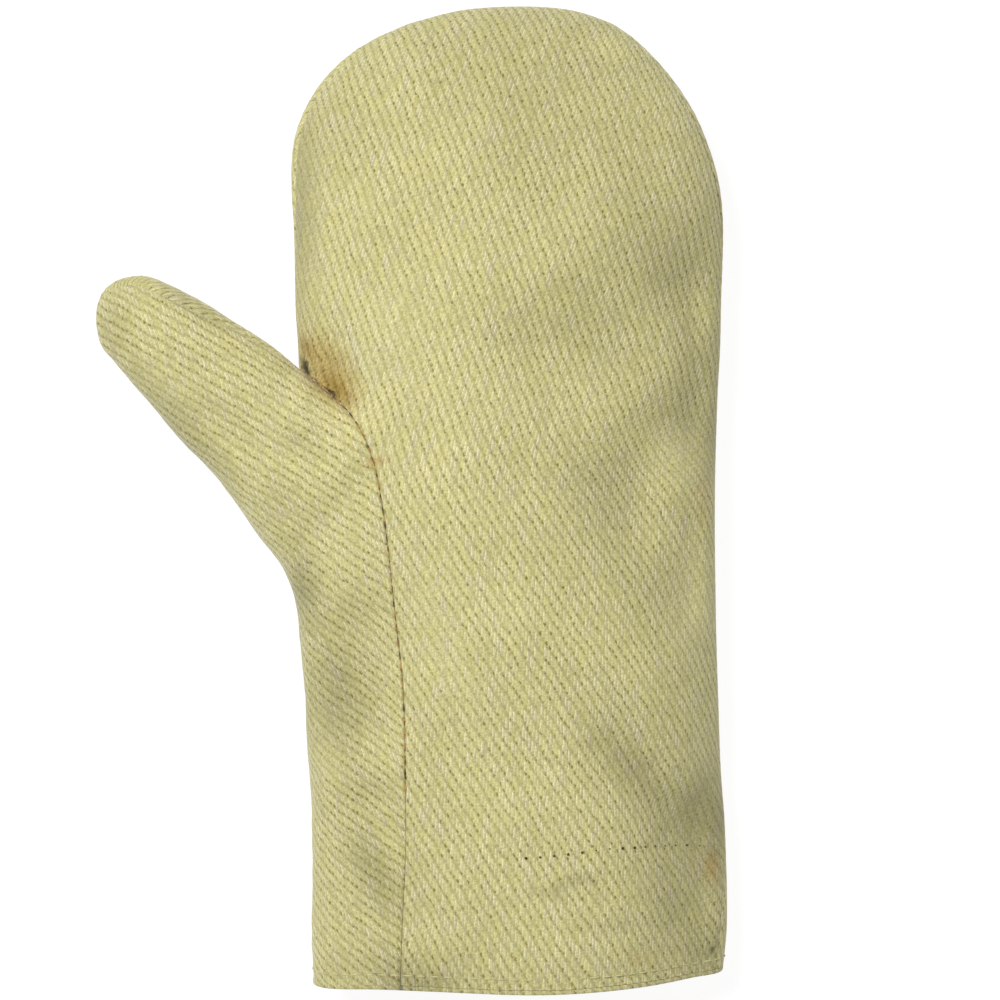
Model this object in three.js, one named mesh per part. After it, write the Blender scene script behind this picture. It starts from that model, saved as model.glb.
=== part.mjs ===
// A heat resistant mitten of heavy twill cloth, lying on its back with its cuff open.
// Units are millimetres. X runs from the thumb side to the little finger side, Y from the
// cuff to the finger end, and Z up from the surface that the mitten rests on. The origin is
// on that surface, in the middle of the mitten's width and length.
import * as THREE from "three";

// What moves the outline's middle to the origin
const MIDDLE_X = 0.55;
const MIDDLE_Y = -2.2;

// Cloth and seams
const WALL = 1.8;
const SEAM_GAP = 0.36;

// Finger end: the body's width and height close along these curves
const CAP_START = 94.75;
const TIP_Y = 166.4;
const CAP_WIDTH_POWER = 2.3;
const CAP_HEIGHT_POWER = 2.8;

// Section of the body: how square the front and the back are, and how flat it rests
const FRONT_POWER = 2.5;
const BACK_POWER = 4;
const BACK_PRESS = 1.07;

// The thumb's back close to its tip, against the rise of its front there
const TIP_PRESS = 1.12;

// The way that the thumb's tip points
const THUMB_TIP_DIRECTION = new THREE.Vector3(-1, 0.35, 0);

// Cuff: the folded lip closes the edge, and its turned-in band lies inside the walls
const HEM_Y = -160.4;
const LIP = 1.6;
const LIP_ROUND = 0.7;
const BAND_GAP = 0.8;
const BAND_WALL = 1.4;
const BAND_TOP = -116;
const CUFF_TOP = HEM_Y + LIP + SEAM_GAP;

// The cuff's edge runs up a little towards its right side, and down at its left side and in
// its middle
const CUFF_LIFT_FROM = -118;
const CUFF_LIFT_RIGHT = 1.4;
const CUFF_LIFT_LEFT = -1.6;
const CUFF_LIFT_REACH = 34;
const CUFF_SWELL = 1.7;
const CUFF_SWELL_X = 44;
const CUFF_SWELL_REACH = 32;

// Rows of a table as objects, from the names of its columns.
function namedRows(columns, rows) {
  return rows.map((row) => Object.fromEntries(columns.map((name, i) => [name, row[i]])));
}

// Sections across the body from the cuff to the finger end. centre and half give its width,
// crown is the height of the front, and edge is the height of its outline. lean moves the
// front's highest place towards the thumb side, and drop lowers the other side's outline.
const BODY = namedRows(["y", "centre", "half", "crown", "edge", "lean", "drop"], [
  [-164, 35.9, 68.8, 47, 22, 0.22, 9],
  [-144, 36.7, 69.8, 47, 22, 0.22, 9],
  [-110, 36.2, 69.6, 46, 22, 0.22, 9],
  [-90, 35, 69.5, 46, 22, 0.19, 11],
  [-70, 34.1, 69.5, 46, 22, 0.16, 8],
  [-50, 33.2, 69.7, 46.5, 22, 0.14, 7],
  [-36, 32.7, 69.8, 47, 22, 0.12, 6],
  [0, 32.7, 69.5, 47.5, 22, 0.12, 6],
  [34, 32.8, 70.3, 47, 21.5, 0.12, 6],
  [51, 33, 71, 46, 21, 0.1, 5.5],
  [64, 32.7, 71.6, 45.5, 21, 0.08, 5],
  [91, 32.7, 72.2, 44, 20, 0.03, 3],
  [105, 31.7, 72.4, 43, 19.5, -0.03, 2],
  [125, 29.6, 72.6, 42, 18.5, -0.1, 1],
  [150, 29.9, 71.9, 41, 17, -0.1, 0.5],
  [167, 36, 71.9, 40, 16, -0.1, 0],
]);

// How far the seam between palm and back lies in from the outline on the front, in radians
// of the section, at the thumb side (left) and at the other side (right).
const SIDE_SEAM = [
  { y: -164, left: 0, right: 0.3 },
  { y: -140, left: 0, right: 0.26 },
  { y: -112, left: 0, right: 0.1 },
  { y: -90, left: 0, right: 0 },
  { y: 50, left: 0, right: 0 },
  { y: 80, left: 0.06, right: 0.06 },
  { y: 110, left: 0.2, right: 0.2 },
  { y: 167, left: 0.24, right: 0.24 },
];

// Sections across the thumb and the strip below it, from the thumb's tip down to the cuff.
// Each runs from the outer fold (outX, outY, at height outZ) to the inner seam (topX, topY):
// along the thumb's upper edge at height topZ as far as CROTCH, then down the palm.
// bulge is the rise of the cloth between the two, turn the angle that it turns through, lap
// the share of the front that the back's cloth covers as it comes over the upper edge, and
// body the share of the body's own section that the strip takes.
const CROTCH = 9;
const THUMB = namedRows(
  ["rung", "topX", "topY", "topZ", "outX", "outY", "outZ", "bulge", "turn", "lap", "body"],
  [
    [0, -106.8, 61.8, 12, -106.8, 61.8, 12, 0, 180, 0, 0],
    [1, -106.1, 67.7, 12.2, -106, 56.1, 12.2, 5.2, 180, 0.1, 0],
    [2, -103.4, 71.9, 12.5, -104.3, 51.2, 12.5, 8, 180, 0.16, 0],
    [3, -98.2, 75.1, 13, -100.6, 46.6, 13, 10.5, 180, 0.19, 0],
    [4, -90.4, 75.8, 13.5, -95.6, 40.2, 13.5, 12.5, 180, 0.2, 0],
    [5, -81.4, 72.4, 14.5, -89.5, 33.5, 14, 14, 180, 0.2, 0],
    [6, -70.1, 66.7, 15.5, -82.1, 25.1, 14.5, 15, 180, 0.18, 0],
    [7, -58.3, 59.6, 17, -73.4, 15.3, 15.5, 15.5, 180, 0.14, 0],
    [8, -47.6, 52.2, 19, -64.7, 5.2, 16.5, 16, 180, 0.08, 0],
    [9, -37.9, 44.4, 21.2, -57.3, -3.2, 17.5, 16.5, 180, 0, 0],
    [10, -27, 35.6, 23, -50.9, -11.9, 18.5, 18, 150, 0, 0],
    [11, -18.3, 26.5, 24, -44.2, -20.8, 19.5, 20, 122, 0, 0],
    [12, -12.3, 14.1, 24, -40.2, -30.2, 20.5, 21.5, 104, 0, 0],
    [13, -8.9, -1.7, 24, -37.8, -39.6, 21.2, 22.5, 94, 0, 0.1],
    [14, -6.6, -18.5, 24, -36.5, -50.4, 22, 23, 90, 0, 0.35],
    [15, -4.5, -39.3, 24, -35.8, -63.2, 22, 23, 88, 0, 0.7],
    [16, -2.2, -60.5, 24, -35.1, -77.3, 22, 23, 88, 0, 0.95],
    [17, -1.5, -84, 24, -34.1, -94.1, 22, 23, 88, 0, 1],
    [18, -1.2, -110.9, 24, -33.4, -114.9, 22, 23, 88, 0, 1],
    [19, -2.2, -136.1, 24, -33.1, -136.8, 22, 23, 88, 0, 1],
    [20, -2.9, CUFF_TOP, 24, -33, CUFF_TOP, 22, 23, 88, 0, 1],
  ],
);
const LAST_RUNG = THUMB.length - 1;

// Folds and dents of the front: each lies along a line of places. A positive rise is a ridge
// and a negative one a valley.
const FOLDS = [
  { name: "crest beside the seam", width: 20, rise: 2.2, line: [[26, 100], [20, 20], [24, -50]] },
  { name: "swell above the slack", width: 13, rise: 2.2, line: [[52, 80], [86, 96]] },
  { name: "upper slack", width: 15, rise: -3.6, line: [[46, 48], [68, 58], [98, 66]] },
  { name: "palm slack", width: 18, rise: -1.6, line: [[60, 42], [96, 50]] },
  { name: "palm crease", width: 12, rise: -4.8, line: [[102, 30], [86, 22], [76, 8], [72, -10]] },
  { name: "heel hollow", width: 10, rise: -3.2, line: [[98, -10], [92, -34]] },
  { name: "heel swell", width: 13, rise: 3.6, line: [[42, -42], [62, -54], [78, -70], [90, -90]] },
  { name: "wrist fold", width: 12, rise: -5, line: [[66, -84], [78, -92], [90, -110]] },
  { name: "cuff side", width: 16, rise: -4, line: [[92, -112], [92, -160]] },
  { name: "thumb side hollow", width: 7, rise: -1.6, line: [[-25, 98], [-25, 56]] },
  { name: "crotch hollow", width: 9, rise: -4, line: [[-30, 44], [-20, 36]] },
  { name: "hollow under the thumb", width: 12, rise: -6, line: [[-17, -44], [-14, -74]] },
  { name: "strip swell", width: 10, rise: 1.6, line: [[-28, -86], [-26, -98]] },
  { name: "strip crease", width: 9, rise: -4.5, line: [[-12, -100], [-4, -120], [2, -138]] },
  { name: "thumb root crease", width: 7, rise: -2, line: [[-34, -16], [-22, -2], [-14, 8]] },
  { name: "thumb wrinkle", width: 7, rise: -3, line: [[-68, 28], [-50, 18], [-32, 15]] },
];
const FOLD_EDGE = 0.16;

// Mesh steps
const THUMB_STEPS = 40;
const THUMB_ARC_STEPS = 9;
const PALM_ACROSS = 25;
const PALM_CAP_ROWS = 17;
const BACK_ACROSS = 17;
const CUFF_AROUND = 52;
const BAND_ROWS = 4;
const NUDGE = 1e-3;
const POINTS_PER_MM = 1000;

const clamp = THREE.MathUtils.clamp;
const lerp = THREE.MathUtils.lerp;
const smoothstep = THREE.MathUtils.smoothstep;

// Value of every column at one place of a table: a smooth curve through its rows.
function readTable(rows, key, at) {
  const last = rows.length - 1;
  const place = clamp(at, rows[0][key], rows[last][key]);
  let k = 0;
  while (k < last - 1 && rows[k + 1][key] < place) k += 1;
  const step = rows[k + 1][key] - rows[k][key];
  const t = (place - rows[k][key]) / step;
  const slope = (column, i) => {
    const before = rows[Math.max(i - 1, 0)];
    const after = rows[Math.min(i + 1, last)];
    return (after[column] - before[column]) / (after[key] - before[key]);
  };
  const value = {};
  for (const column of Object.keys(rows[0])) {
    const from = rows[k][column];
    const to = rows[k + 1][column];
    const out = slope(column, k) * step;
    const into = slope(column, k + 1) * step;
    value[column] =
      (2 * t ** 3 - 3 * t ** 2 + 1) * from +
      (t ** 3 - 2 * t ** 2 + t) * out +
      (3 * t ** 2 - 2 * t ** 3) * to +
      (t ** 3 - t ** 2) * into;
  }
  return value;
}

// Distance of one place from a line.
function awayFrom(line, x, y) {
  let nearest = Infinity;
  for (let i = 1; i < line.length; i += 1) {
    const [startX, startY] = line[i - 1];
    const alongX = line[i][0] - startX;
    const alongY = line[i][1] - startY;
    const length2 = alongX ** 2 + alongY ** 2;
    const t = clamp(((x - startX) * alongX + (y - startY) * alongY) / length2, 0, 1);
    nearest = Math.min(nearest, Math.hypot(x - startX - t * alongX, y - startY - t * alongY));
  }
  return nearest;
}

// Height that the folds add to the front at one place.
function foldRise(x, y) {
  let rise = 0;
  for (const fold of FOLDS) {
    rise += fold.rise * Math.exp(-((awayFrom(fold.line, x, y) / fold.width) ** 2));
  }
  return rise;
}

// The body's section at one place along its length, closed at the finger end.
function sectionAt(y) {
  const row = readTable(BODY, "y", y);
  const closing = clamp((y - CAP_START) / (TIP_Y - CAP_START), 0, 1);
  row.half *= (1 - closing ** CAP_WIDTH_POWER) ** (1 / CAP_WIDTH_POWER);
  row.open = Math.sqrt(1 - closing ** CAP_HEIGHT_POWER);
  return row;
}

// Share of the folds that is left near an outline, where across runs from -1 to 1.
function foldShare(across) {
  return smoothstep(1 - Math.abs(across), 0, FOLD_EDGE);
}

// Height at which the front and the back meet, were they both flat. across runs from -1 at
// the thumb side to 1.
function rimHeight(section, across) {
  return section.edge - section.drop * smoothstep(across, 0, 1);
}

// Height of the body's front.
function frontHeight(across, y) {
  const section = sectionAt(y);
  const rim = rimHeight(section, across);
  const leaning = across + section.lean * (1 - Math.min(across ** 2, 1));
  const arch = Math.sqrt(1 - Math.min(Math.abs(leaning), 1) ** FRONT_POWER);
  const x = section.centre + section.half * across;
  const folds = foldRise(x, y) * foldShare(across) * section.open;
  return rim + section.open * (section.crown - rim) * arch + folds;
}

// Height of the body's back, pressed flat where it rests.
function backHeight(across, y) {
  const section = sectionAt(y);
  const arch = Math.sqrt(1 - Math.min(Math.abs(across), 1) ** BACK_POWER);
  return Math.max(0, rimHeight(section, across) * (1 - BACK_PRESS * section.open * arch));
}

function acrossOf(x, y) {
  const section = sectionAt(y);
  return clamp((x - section.centre) / section.half, -1, 1);
}

// The cuff's edge runs up and down along its width, and the cloth near it follows.
function settle(point) {
  const section = sectionAt(point.y);
  const near = smoothstep(-point.y, -CUFF_LIFT_FROM, -HEM_Y);
  const rightSide = section.half + section.centre;
  const leftSide = section.half - section.centre;
  const right = smoothstep(point.x, rightSide - CUFF_LIFT_REACH, rightSide);
  const left = smoothstep(-point.x, leftSide - CUFF_LIFT_REACH, leftSide);
  const swell = CUFF_SWELL * Math.exp(-(((point.x - CUFF_SWELL_X) / CUFF_SWELL_REACH) ** 2));
  const lift = CUFF_LIFT_RIGHT * right ** 2 + CUFF_LIFT_LEFT * left ** 2 - swell;
  point.y += near * lift + MIDDLE_Y;
  point.x += MIDDLE_X;
  return point;
}

// A point of the body's skin: side is 1 for the front and -1 for the back, angle runs from
// 0 at the thumb side to pi at the other side.
function bodyPoint(side, angle, y) {
  const section = sectionAt(y);
  const across = -Math.cos(angle);
  const height = side > 0 ? frontHeight(across, y) + SEAM_GAP / 2 : backHeight(across, y);
  const z = side > 0 ? height : Math.max(0, height - SEAM_GAP / 2);
  return new THREE.Vector3(section.centre + section.half * across, y, z);
}

// A point of the whole section: the angle runs on from pi to two pi along the back, and the
// front begins again after that.
function ringPoint(angle, y) {
  const turned = angle % (2 * Math.PI);
  return turned <= Math.PI ? bodyPoint(1, turned, y) : bodyPoint(-1, 2 * Math.PI - turned, y);
}

// A point of the back panel, which comes round both outlines to its seams.
function backPoint(angle, y) {
  const point = ringPoint(angle, y);
  if (angle < Math.PI || angle > 2 * Math.PI) point.z -= SEAM_GAP;
  return point;
}

// A point of the thumb's skin: around runs from -1 at the inner edge on the back, through 0
// at the outer fold, to 1 at the inner edge on the front. Below -1 the back's cloth comes
// over the upper edge onto the front.
function thumbPoint(around, rung) {
  const row = readTable(THUMB, "rung", rung);
  const wrapped = around < -1 ? around + 2 : around;
  const side = wrapped < 0 ? -1 : 1;
  const turn = THREE.MathUtils.degToRad(Math.min(row.turn, 180));
  const angle = turn * Math.abs(wrapped);
  const inward = (1 - Math.cos(angle)) / (1 - Math.cos(turn));
  const seamLine = new THREE.Vector3(row.topX, row.topY, 0);
  const outLine = new THREE.Vector3(row.outX, row.outY, 0);
  const direction = seamLine.clone().sub(outLine).normalize();
  seamLine.addScaledVector(direction, -SEAM_GAP / 2);
  const point = outLine.lerp(seamLine, inward);
  const seamAcross = acrossOf(row.topX, row.topY);
  const onBody = rung > CROTCH;
  const seamHeight = side > 0 ? frontHeight(seamAcross, row.topY) : backHeight(seamAcross, row.topY);
  const fold = side > 0 ? foldRise(point.x, point.y) : 0;
  const seamShare = onBody ? foldShare(seamAcross) : 0;
  const share = smoothstep(inward, 0, FOLD_EDGE) * lerp(1, seamShare, inward ** 2);
  const seamFold = side > 0 && onBody ? foldRise(row.topX, row.topY) * seamShare : 0;
  const end = onBody ? seamHeight - seamFold : row.topZ;
  const bulge = side > 0 ? row.bulge : Math.min(row.outZ * BACK_PRESS, row.bulge * TIP_PRESS);
  const chord = end - side * bulge * Math.sin(turn);
  const own = lerp(row.outZ, chord, inward) + side * bulge * Math.sin(angle);
  const across = lerp(-1, seamAcross, inward);
  const bodyFold = side > 0 ? foldRise(point.x, point.y) * foldShare(across) : 0;
  const ofBody = side > 0 ? frontHeight(across, point.y) - bodyFold : backHeight(across, point.y);
  const apart = (Math.sign(around) * inward * Math.min(rung, 1) * SEAM_GAP) / 2;
  point.z = Math.max(0, lerp(own, ofBody, clamp(row.body, 0, 1)) + fold * share + apart);
  return point;
}

// Outward direction of a skin, by small steps along its two parameters.
function skinNormal(skin, p, q, pRange, qRange, outward) {
  const p0 = Math.max(p - NUDGE, pRange[0]);
  const p1 = Math.min(p + NUDGE, pRange[1]);
  const q0 = Math.max(q - NUDGE, qRange[0]);
  const q1 = Math.min(q + NUDGE, qRange[1]);
  const along = skin(p1, q).sub(skin(p0, q));
  const up = skin(p, q1).sub(skin(p, q0));
  return along.cross(up).normalize().multiplyScalar(outward);
}

// Triangles of a four-sided grid whose corner points are given by number.
function addQuad(triangles, a, b, c, d) {
  triangles.push([a, b, c], [a, c, d]);
}

// A closed geometry from numbered points and triangles. Points at one place become one, and
// triangles that close up are left out.
function closedGeometry(points, triangles) {
  const numbers = new Map();
  const merged = [];
  const numberOf = points.map((point) => {
    const id = point.toArray().map((value) => Math.round(value * POINTS_PER_MM)).join();
    if (!numbers.has(id)) {
      numbers.set(id, merged.length);
      merged.push(point);
    }
    return numbers.get(id);
  });
  const index = [];
  let volume = 0;
  for (const triangle of triangles) {
    const [a, b, c] = triangle.map((corner) => numberOf[corner]);
    if (a === b || b === c || c === a) continue;
    index.push(a, b, c);
    volume += merged[a].dot(merged[b].clone().cross(merged[c]));
  }
  if (volume < 0) index.reverse();
  const geometry = new THREE.BufferGeometry().setFromPoints(merged);
  geometry.setIndex(index);
  geometry.computeVertexNormals();
  return geometry;
}

// A cloth panel with thickness: rows of skin points, and the same rows one wall further in.
function panelGeometry(outer, inner) {
  const rows = outer.length;
  const columns = outer[0].length;
  const points = [...outer.flat(), ...inner.flat()];
  const out = (row, column) => row * columns + column;
  const back = (row, column) => rows * columns + out(row, column);
  const triangles = [];
  for (let row = 0; row < rows - 1; row += 1) {
    for (let column = 0; column < columns - 1; column += 1) {
      const next = column + 1;
      addQuad(triangles, out(row, column), out(row, next), out(row + 1, next), out(row + 1, column));
      addQuad(triangles, back(row, column), back(row + 1, column), back(row + 1, next), back(row, next));
    }
    addQuad(triangles, out(row, 0), out(row + 1, 0), back(row + 1, 0), back(row, 0));
    const end = columns - 1;
    addQuad(triangles, out(row, end), back(row, end), back(row + 1, end), out(row + 1, end));
  }
  for (let column = 0; column < columns - 1; column += 1) {
    const top = rows - 1;
    const next = column + 1;
    addQuad(triangles, out(0, column), back(0, column), back(0, next), out(0, next));
    addQuad(triangles, out(top, column), out(top, next), back(top, next), back(top, column));
  }
  return closedGeometry(points, triangles);
}

// Places of the rows that the body's panels and the thumb's panel share, and of the rest.
const thumbRungs = Array.from({ length: THUMB_STEPS + 1 }, (_, i) => (i * LAST_RUNG) / THUMB_STEPS);
const seamRungs = thumbRungs.filter((rung) => rung >= CROTCH).reverse();
const seamRows = seamRungs.map((rung) => readTable(THUMB, "rung", rung));
const crotchY = readTable(THUMB, "rung", CROTCH).topY;
const capRows = Array.from({ length: PALM_CAP_ROWS }, (_, i) => {
  const turn = ((i + 1) / PALM_CAP_ROWS) * (Math.PI / 2);
  return lerp(crotchY, TIP_Y, Math.sin(turn));
});

// Angles at which the two body panels end in one row, for the palm and for the back. Below
// the crotch both stop at the thumb's seam, and elsewhere at the side seams.
function seamAngles(y, topX) {
  const seam = readTable(SIDE_SEAM, "y", y);
  const right = Math.PI - seam.right;
  if (topX === null) return { palm: [seam.left, right], back: [right, 2 * Math.PI + seam.left] };
  const first = Math.acos(-acrossOf(topX + SEAM_GAP / 2, y));
  return { palm: [first, right], back: [right, 2 * Math.PI - first] };
}

// One of the body's two panels, from the cuff to the finger end.
function bodyPanel(side, columns) {
  const rows = seamRows.map((row) => ({ y: row.topY, ends: seamAngles(row.topY, row.topX)[side] }));
  capRows.forEach((y) => rows.push({ y, ends: seamAngles(y, null)[side] }));
  const skin = side === "palm" ? ringPoint : backPoint;
  const outer = [];
  const inner = [];
  for (const { y, ends } of rows) {
    const skinRow = [];
    const innerRow = [];
    for (let i = 0; i <= columns; i += 1) {
      const angle = lerp(ends[0], ends[1], i / columns);
      const point = skin(angle, y);
      const normal =
        y >= TIP_Y
          ? new THREE.Vector3(0, 1, 0)
          : skinNormal(skin, angle, y, [0, 3 * Math.PI], [-Infinity, TIP_Y], 1);
      if (angle % Math.PI === 0) normal.setZ(0).normalize();
      skinRow.push(settle(point.clone()));
      innerRow.push(settle(point.addScaledVector(normal, -WALL)));
    }
    outer.push(skinRow);
    inner.push(innerRow);
  }
  return panelGeometry(outer, inner);
}

// The thumb's panel, folded round the outer edge, with the strip below it down to the cuff.
function thumbPanel() {
  const outer = [];
  const inner = [];
  const tipNormal = THUMB_TIP_DIRECTION.clone().normalize();
  for (const rung of thumbRungs) {
    const lap = Math.max(readTable(THUMB, "rung", rung).lap, 0);
    const lowest = rung < CROTCH ? -2 : -1;
    const skinRow = [];
    const innerRow = [];
    for (let i = -THUMB_ARC_STEPS; i <= THUMB_ARC_STEPS; i += 1) {
      const around = (i / THUMB_ARC_STEPS) * (1 - Math.sign(i) * lap);
      const point = thumbPoint(around, rung);
      const normal =
        rung === 0
          ? tipNormal.clone()
          : skinNormal(thumbPoint, around, rung, [lowest, 1], [0, LAST_RUNG], -1);
      if (i === 0) normal.setZ(0).normalize();
      skinRow.push(settle(point.clone()));
      innerRow.push(settle(point.addScaledVector(normal, -WALL)));
    }
    outer.push(skinRow);
    inner.push(innerRow);
  }
  return panelGeometry(outer, inner);
}

// The cuff's folded lip with its turned-in band: one closed ring.
function cuffHem() {
  const bandOut = WALL + BAND_GAP;
  const bandIn = bandOut + BAND_WALL;
  const profile = [
    { depth: 0, y: HEM_Y + LIP },
    { depth: 0, y: HEM_Y + LIP_ROUND },
    { depth: LIP_ROUND, y: HEM_Y },
    { depth: bandIn - LIP_ROUND, y: HEM_Y },
    { depth: bandIn, y: HEM_Y + LIP_ROUND },
  ];
  const bandRow = (step) => lerp(HEM_Y + LIP, BAND_TOP, step / BAND_ROWS);
  for (let step = 0; step <= BAND_ROWS; step += 1) profile.push({ depth: bandIn, y: bandRow(step) });
  for (let step = BAND_ROWS; step >= 0; step -= 1) profile.push({ depth: bandOut, y: bandRow(step) });
  const rows = [];
  for (const { depth, y } of profile) {
    const row = [];
    for (let i = 0; i < CUFF_AROUND; i += 1) {
      const angle = (2 * Math.PI * i) / CUFF_AROUND;
      const point = ringPoint(angle, y);
      const normal = skinNormal(ringPoint, angle, y, [0, 2 * Math.PI], [-Infinity, TIP_Y], 1);
      if (i === 0 || 2 * i === CUFF_AROUND) normal.setZ(0);
      row.push(settle(point.addScaledVector(normal.normalize(), -depth)));
    }
    rows.push(row);
  }
  const triangles = [];
  const number = (row, column) => (row % rows.length) * CUFF_AROUND + (column % CUFF_AROUND);
  for (let row = 0; row < rows.length; row += 1) {
    for (let column = 0; column < CUFF_AROUND; column += 1) {
      addQuad(
        triangles,
        number(row, column),
        number(row, column + 1),
        number(row + 1, column + 1),
        number(row + 1, column),
      );
    }
  }
  return closedGeometry(rows.flat(), triangles);
}

// Finishes: undyed pale yellow twill, a little deeper on the back and browner at the hem
const palmCloth = new THREE.MeshStandardMaterial({ color: 0xc8c18c, roughness: 0.95, metalness: 0 });
const backCloth = new THREE.MeshStandardMaterial({ color: 0xbfb884, roughness: 0.95, metalness: 0 });
const thumbCloth = new THREE.MeshStandardMaterial({ color: 0xcac38f, roughness: 0.95, metalness: 0 });
const hemCloth = new THREE.MeshStandardMaterial({ color: 0xb9b17c, roughness: 0.95, metalness: 0 });

function namedMesh(name, geometry, material) {
  const mesh = new THREE.Mesh(geometry, material);
  mesh.name = name;
  return mesh;
}

const mitten = new THREE.Group();
mitten.add(
  namedMesh("palm_panel", bodyPanel("palm", PALM_ACROSS), palmCloth),
  namedMesh("back_panel", bodyPanel("back", BACK_ACROSS), backCloth),
  namedMesh("thumb_panel", thumbPanel(), thumbCloth),
  namedMesh("cuff_hem", cuffHem(), hemCloth),
);

export default mitten;
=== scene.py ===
"""A heat resistant mitten of heavy twill cloth, lying on its back with its cuff open.

Tables and sizes are in millimetres, as a pattern cutter writes them, and every mesh is in
metres. X runs from the thumb side to the little finger side, Y from the cuff to the finger
end, and Z up from the surface that the mitten rests on.
"""

import logging
import math
from dataclasses import dataclass
from enum import Enum
from typing import Any, Callable, Dict, Optional, Sequence, Tuple, Union

import bpy
import numpy as np
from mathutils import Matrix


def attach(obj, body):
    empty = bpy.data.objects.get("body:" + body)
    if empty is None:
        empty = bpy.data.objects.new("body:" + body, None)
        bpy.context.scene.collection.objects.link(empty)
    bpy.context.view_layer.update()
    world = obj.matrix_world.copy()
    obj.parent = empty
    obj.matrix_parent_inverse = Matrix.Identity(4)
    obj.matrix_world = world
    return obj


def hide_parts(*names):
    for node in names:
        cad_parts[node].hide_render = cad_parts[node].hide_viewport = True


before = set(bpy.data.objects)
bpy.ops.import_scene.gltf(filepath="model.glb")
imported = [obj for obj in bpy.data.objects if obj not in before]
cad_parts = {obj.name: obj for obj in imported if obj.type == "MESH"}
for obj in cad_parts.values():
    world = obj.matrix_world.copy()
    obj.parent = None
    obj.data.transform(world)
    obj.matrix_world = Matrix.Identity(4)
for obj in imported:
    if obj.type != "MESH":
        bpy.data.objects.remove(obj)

Array = np.ndarray
Colour = Tuple[float, float, float]
log = logging.getLogger("mitten")

MM = 0.001
ROOT = "root"
FULL_TURN = 2 * math.pi

# What moves the outline's middle to the origin
MIDDLE_X = 0.55
MIDDLE_Y = -2.2

# Cloth and seams
WALL = 1.8
SEAM_GAP = 0.12

# Finger end: the body's width and height close along these curves
CAP_START = 94.75
TIP_Y = 166.4
CAP_WIDTH_POWER = 2.3
CAP_HEIGHT_POWER = 2.8

# Section of the body: how square the front and the back are, and how flat it rests
FRONT_POWER = 2.5
BACK_POWER = 4
BACK_PRESS = 1.07
TIP_PRESS = 1.12

# Cuff
HEM_Y = -160.4
LIP = 1.6
LIP_ROUND = 0.7
BAND_GAP = 0.8
BAND_WALL = 1.4
BAND_TOP = -116.0
CUFF_LIFT_FROM = -118.0
CUFF_LIFT_RIGHT = 1.4
CUFF_LIFT_LEFT = -1.6
CUFF_LIFT_REACH = 34.0
CUFF_SWELL = 1.7
CUFF_SWELL_X = 44.0
CUFF_SWELL_REACH = 32.0

# The photograph's scale at the height of the mitten's outline
PHOTO_PIXELS = 1000
MM_PER_PIXEL = 0.336
PHOTO_ZERO_X = 411.5
PHOTO_ZERO_Y = 500.0
PHOTO_MIDDLE = 500.0

# The eye, the height that its scale is true at, and that of the mitten's front
EYE_HEIGHT = 1000.0
FOCUS_HEIGHT = 20.0
FRONT_HEIGHT = 42.0


class Table:
    """Rows of named columns, with a smooth curve through each column."""

    def __init__(self, columns: str, rows: Sequence[Sequence[float]]) -> None:
        """Keeps the rows.

        Args:
            columns: The columns' names, of which the first is the key.
            rows: One row of numbers for each section.
        """
        self.columns = columns.split()
        self.rows = np.array(rows, float)

    def at(self, column: str, place: Array) -> Array:
        """Reads one column.

        Args:
            column: The column's name.
            place: Values of the key column.

        Returns:
            The column's value at each place.
        """
        key = self.rows[:, 0]
        value = self.rows[:, self.columns.index(column)]
        before = np.maximum(np.arange(len(key)) - 1, 0)
        after = np.minimum(np.arange(len(key)) + 1, len(key) - 1)
        slope = (value[after] - value[before]) / (key[after] - key[before])
        place = np.clip(place, key[0], key[-1])
        row = np.clip(np.searchsorted(key, place, side="right") - 1, 0, len(key) - 2)
        step = key[row + 1] - key[row]
        t = (place - key[row]) / step
        return (
            (2 * t**3 - 3 * t**2 + 1) * value[row]
            + (t**3 - 2 * t**2 + t) * slope[row] * step
            + (3 * t**2 - 2 * t**3) * value[row + 1]
            + (t**3 - t**2) * slope[row + 1] * step
        )


# Sections across the body. centre and half give its width, crown is the height of the
# front, and edge is the height of its outline. lean moves the front's highest place towards
# the thumb side, and drop lowers the other side's outline.
BODY = Table("y centre half crown edge lean drop", [
    (-164, 35.9, 68.8, 47, 22, 0.22, 9),
    (-144, 36.7, 69.8, 47, 22, 0.22, 9),
    (-110, 36.2, 69.6, 46, 22, 0.22, 9),
    (-90, 35, 69.5, 46, 22, 0.19, 11),
    (-70, 34.1, 69.5, 46, 22, 0.16, 8),
    (-50, 33.2, 69.7, 46.5, 22, 0.14, 7),
    (-36, 32.7, 69.8, 47, 22, 0.12, 6),
    (0, 32.7, 69.5, 47.5, 22, 0.12, 6),
    (34, 32.8, 70.3, 47, 21.5, 0.12, 6),
    (51, 33, 71, 46, 21, 0.1, 5.5),
    (64, 32.7, 71.6, 45.5, 21, 0.08, 5),
    (91, 32.7, 72.2, 44, 20, 0.03, 3),
    (105, 31.7, 72.4, 43, 19.5, -0.03, 2),
    (125, 29.6, 72.6, 42, 18.5, -0.1, 1),
    (150, 29.9, 71.9, 41, 17, -0.1, 0.5),
    (167, 36, 71.9, 40, 16, -0.1, 0),
])

# How far the seam between palm and back lies in from the outline on the front, in radians
# of the section.
SIDE_SEAM = Table("y left right", [
    (-164, 0, 0.3),
    (-140, 0, 0.26),
    (-112, 0, 0.1),
    (-90, 0, 0),
    (50, 0, 0),
    (80, 0.06, 0.06),
    (110, 0.2, 0.2),
    (167, 0.24, 0.24),
])

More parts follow.
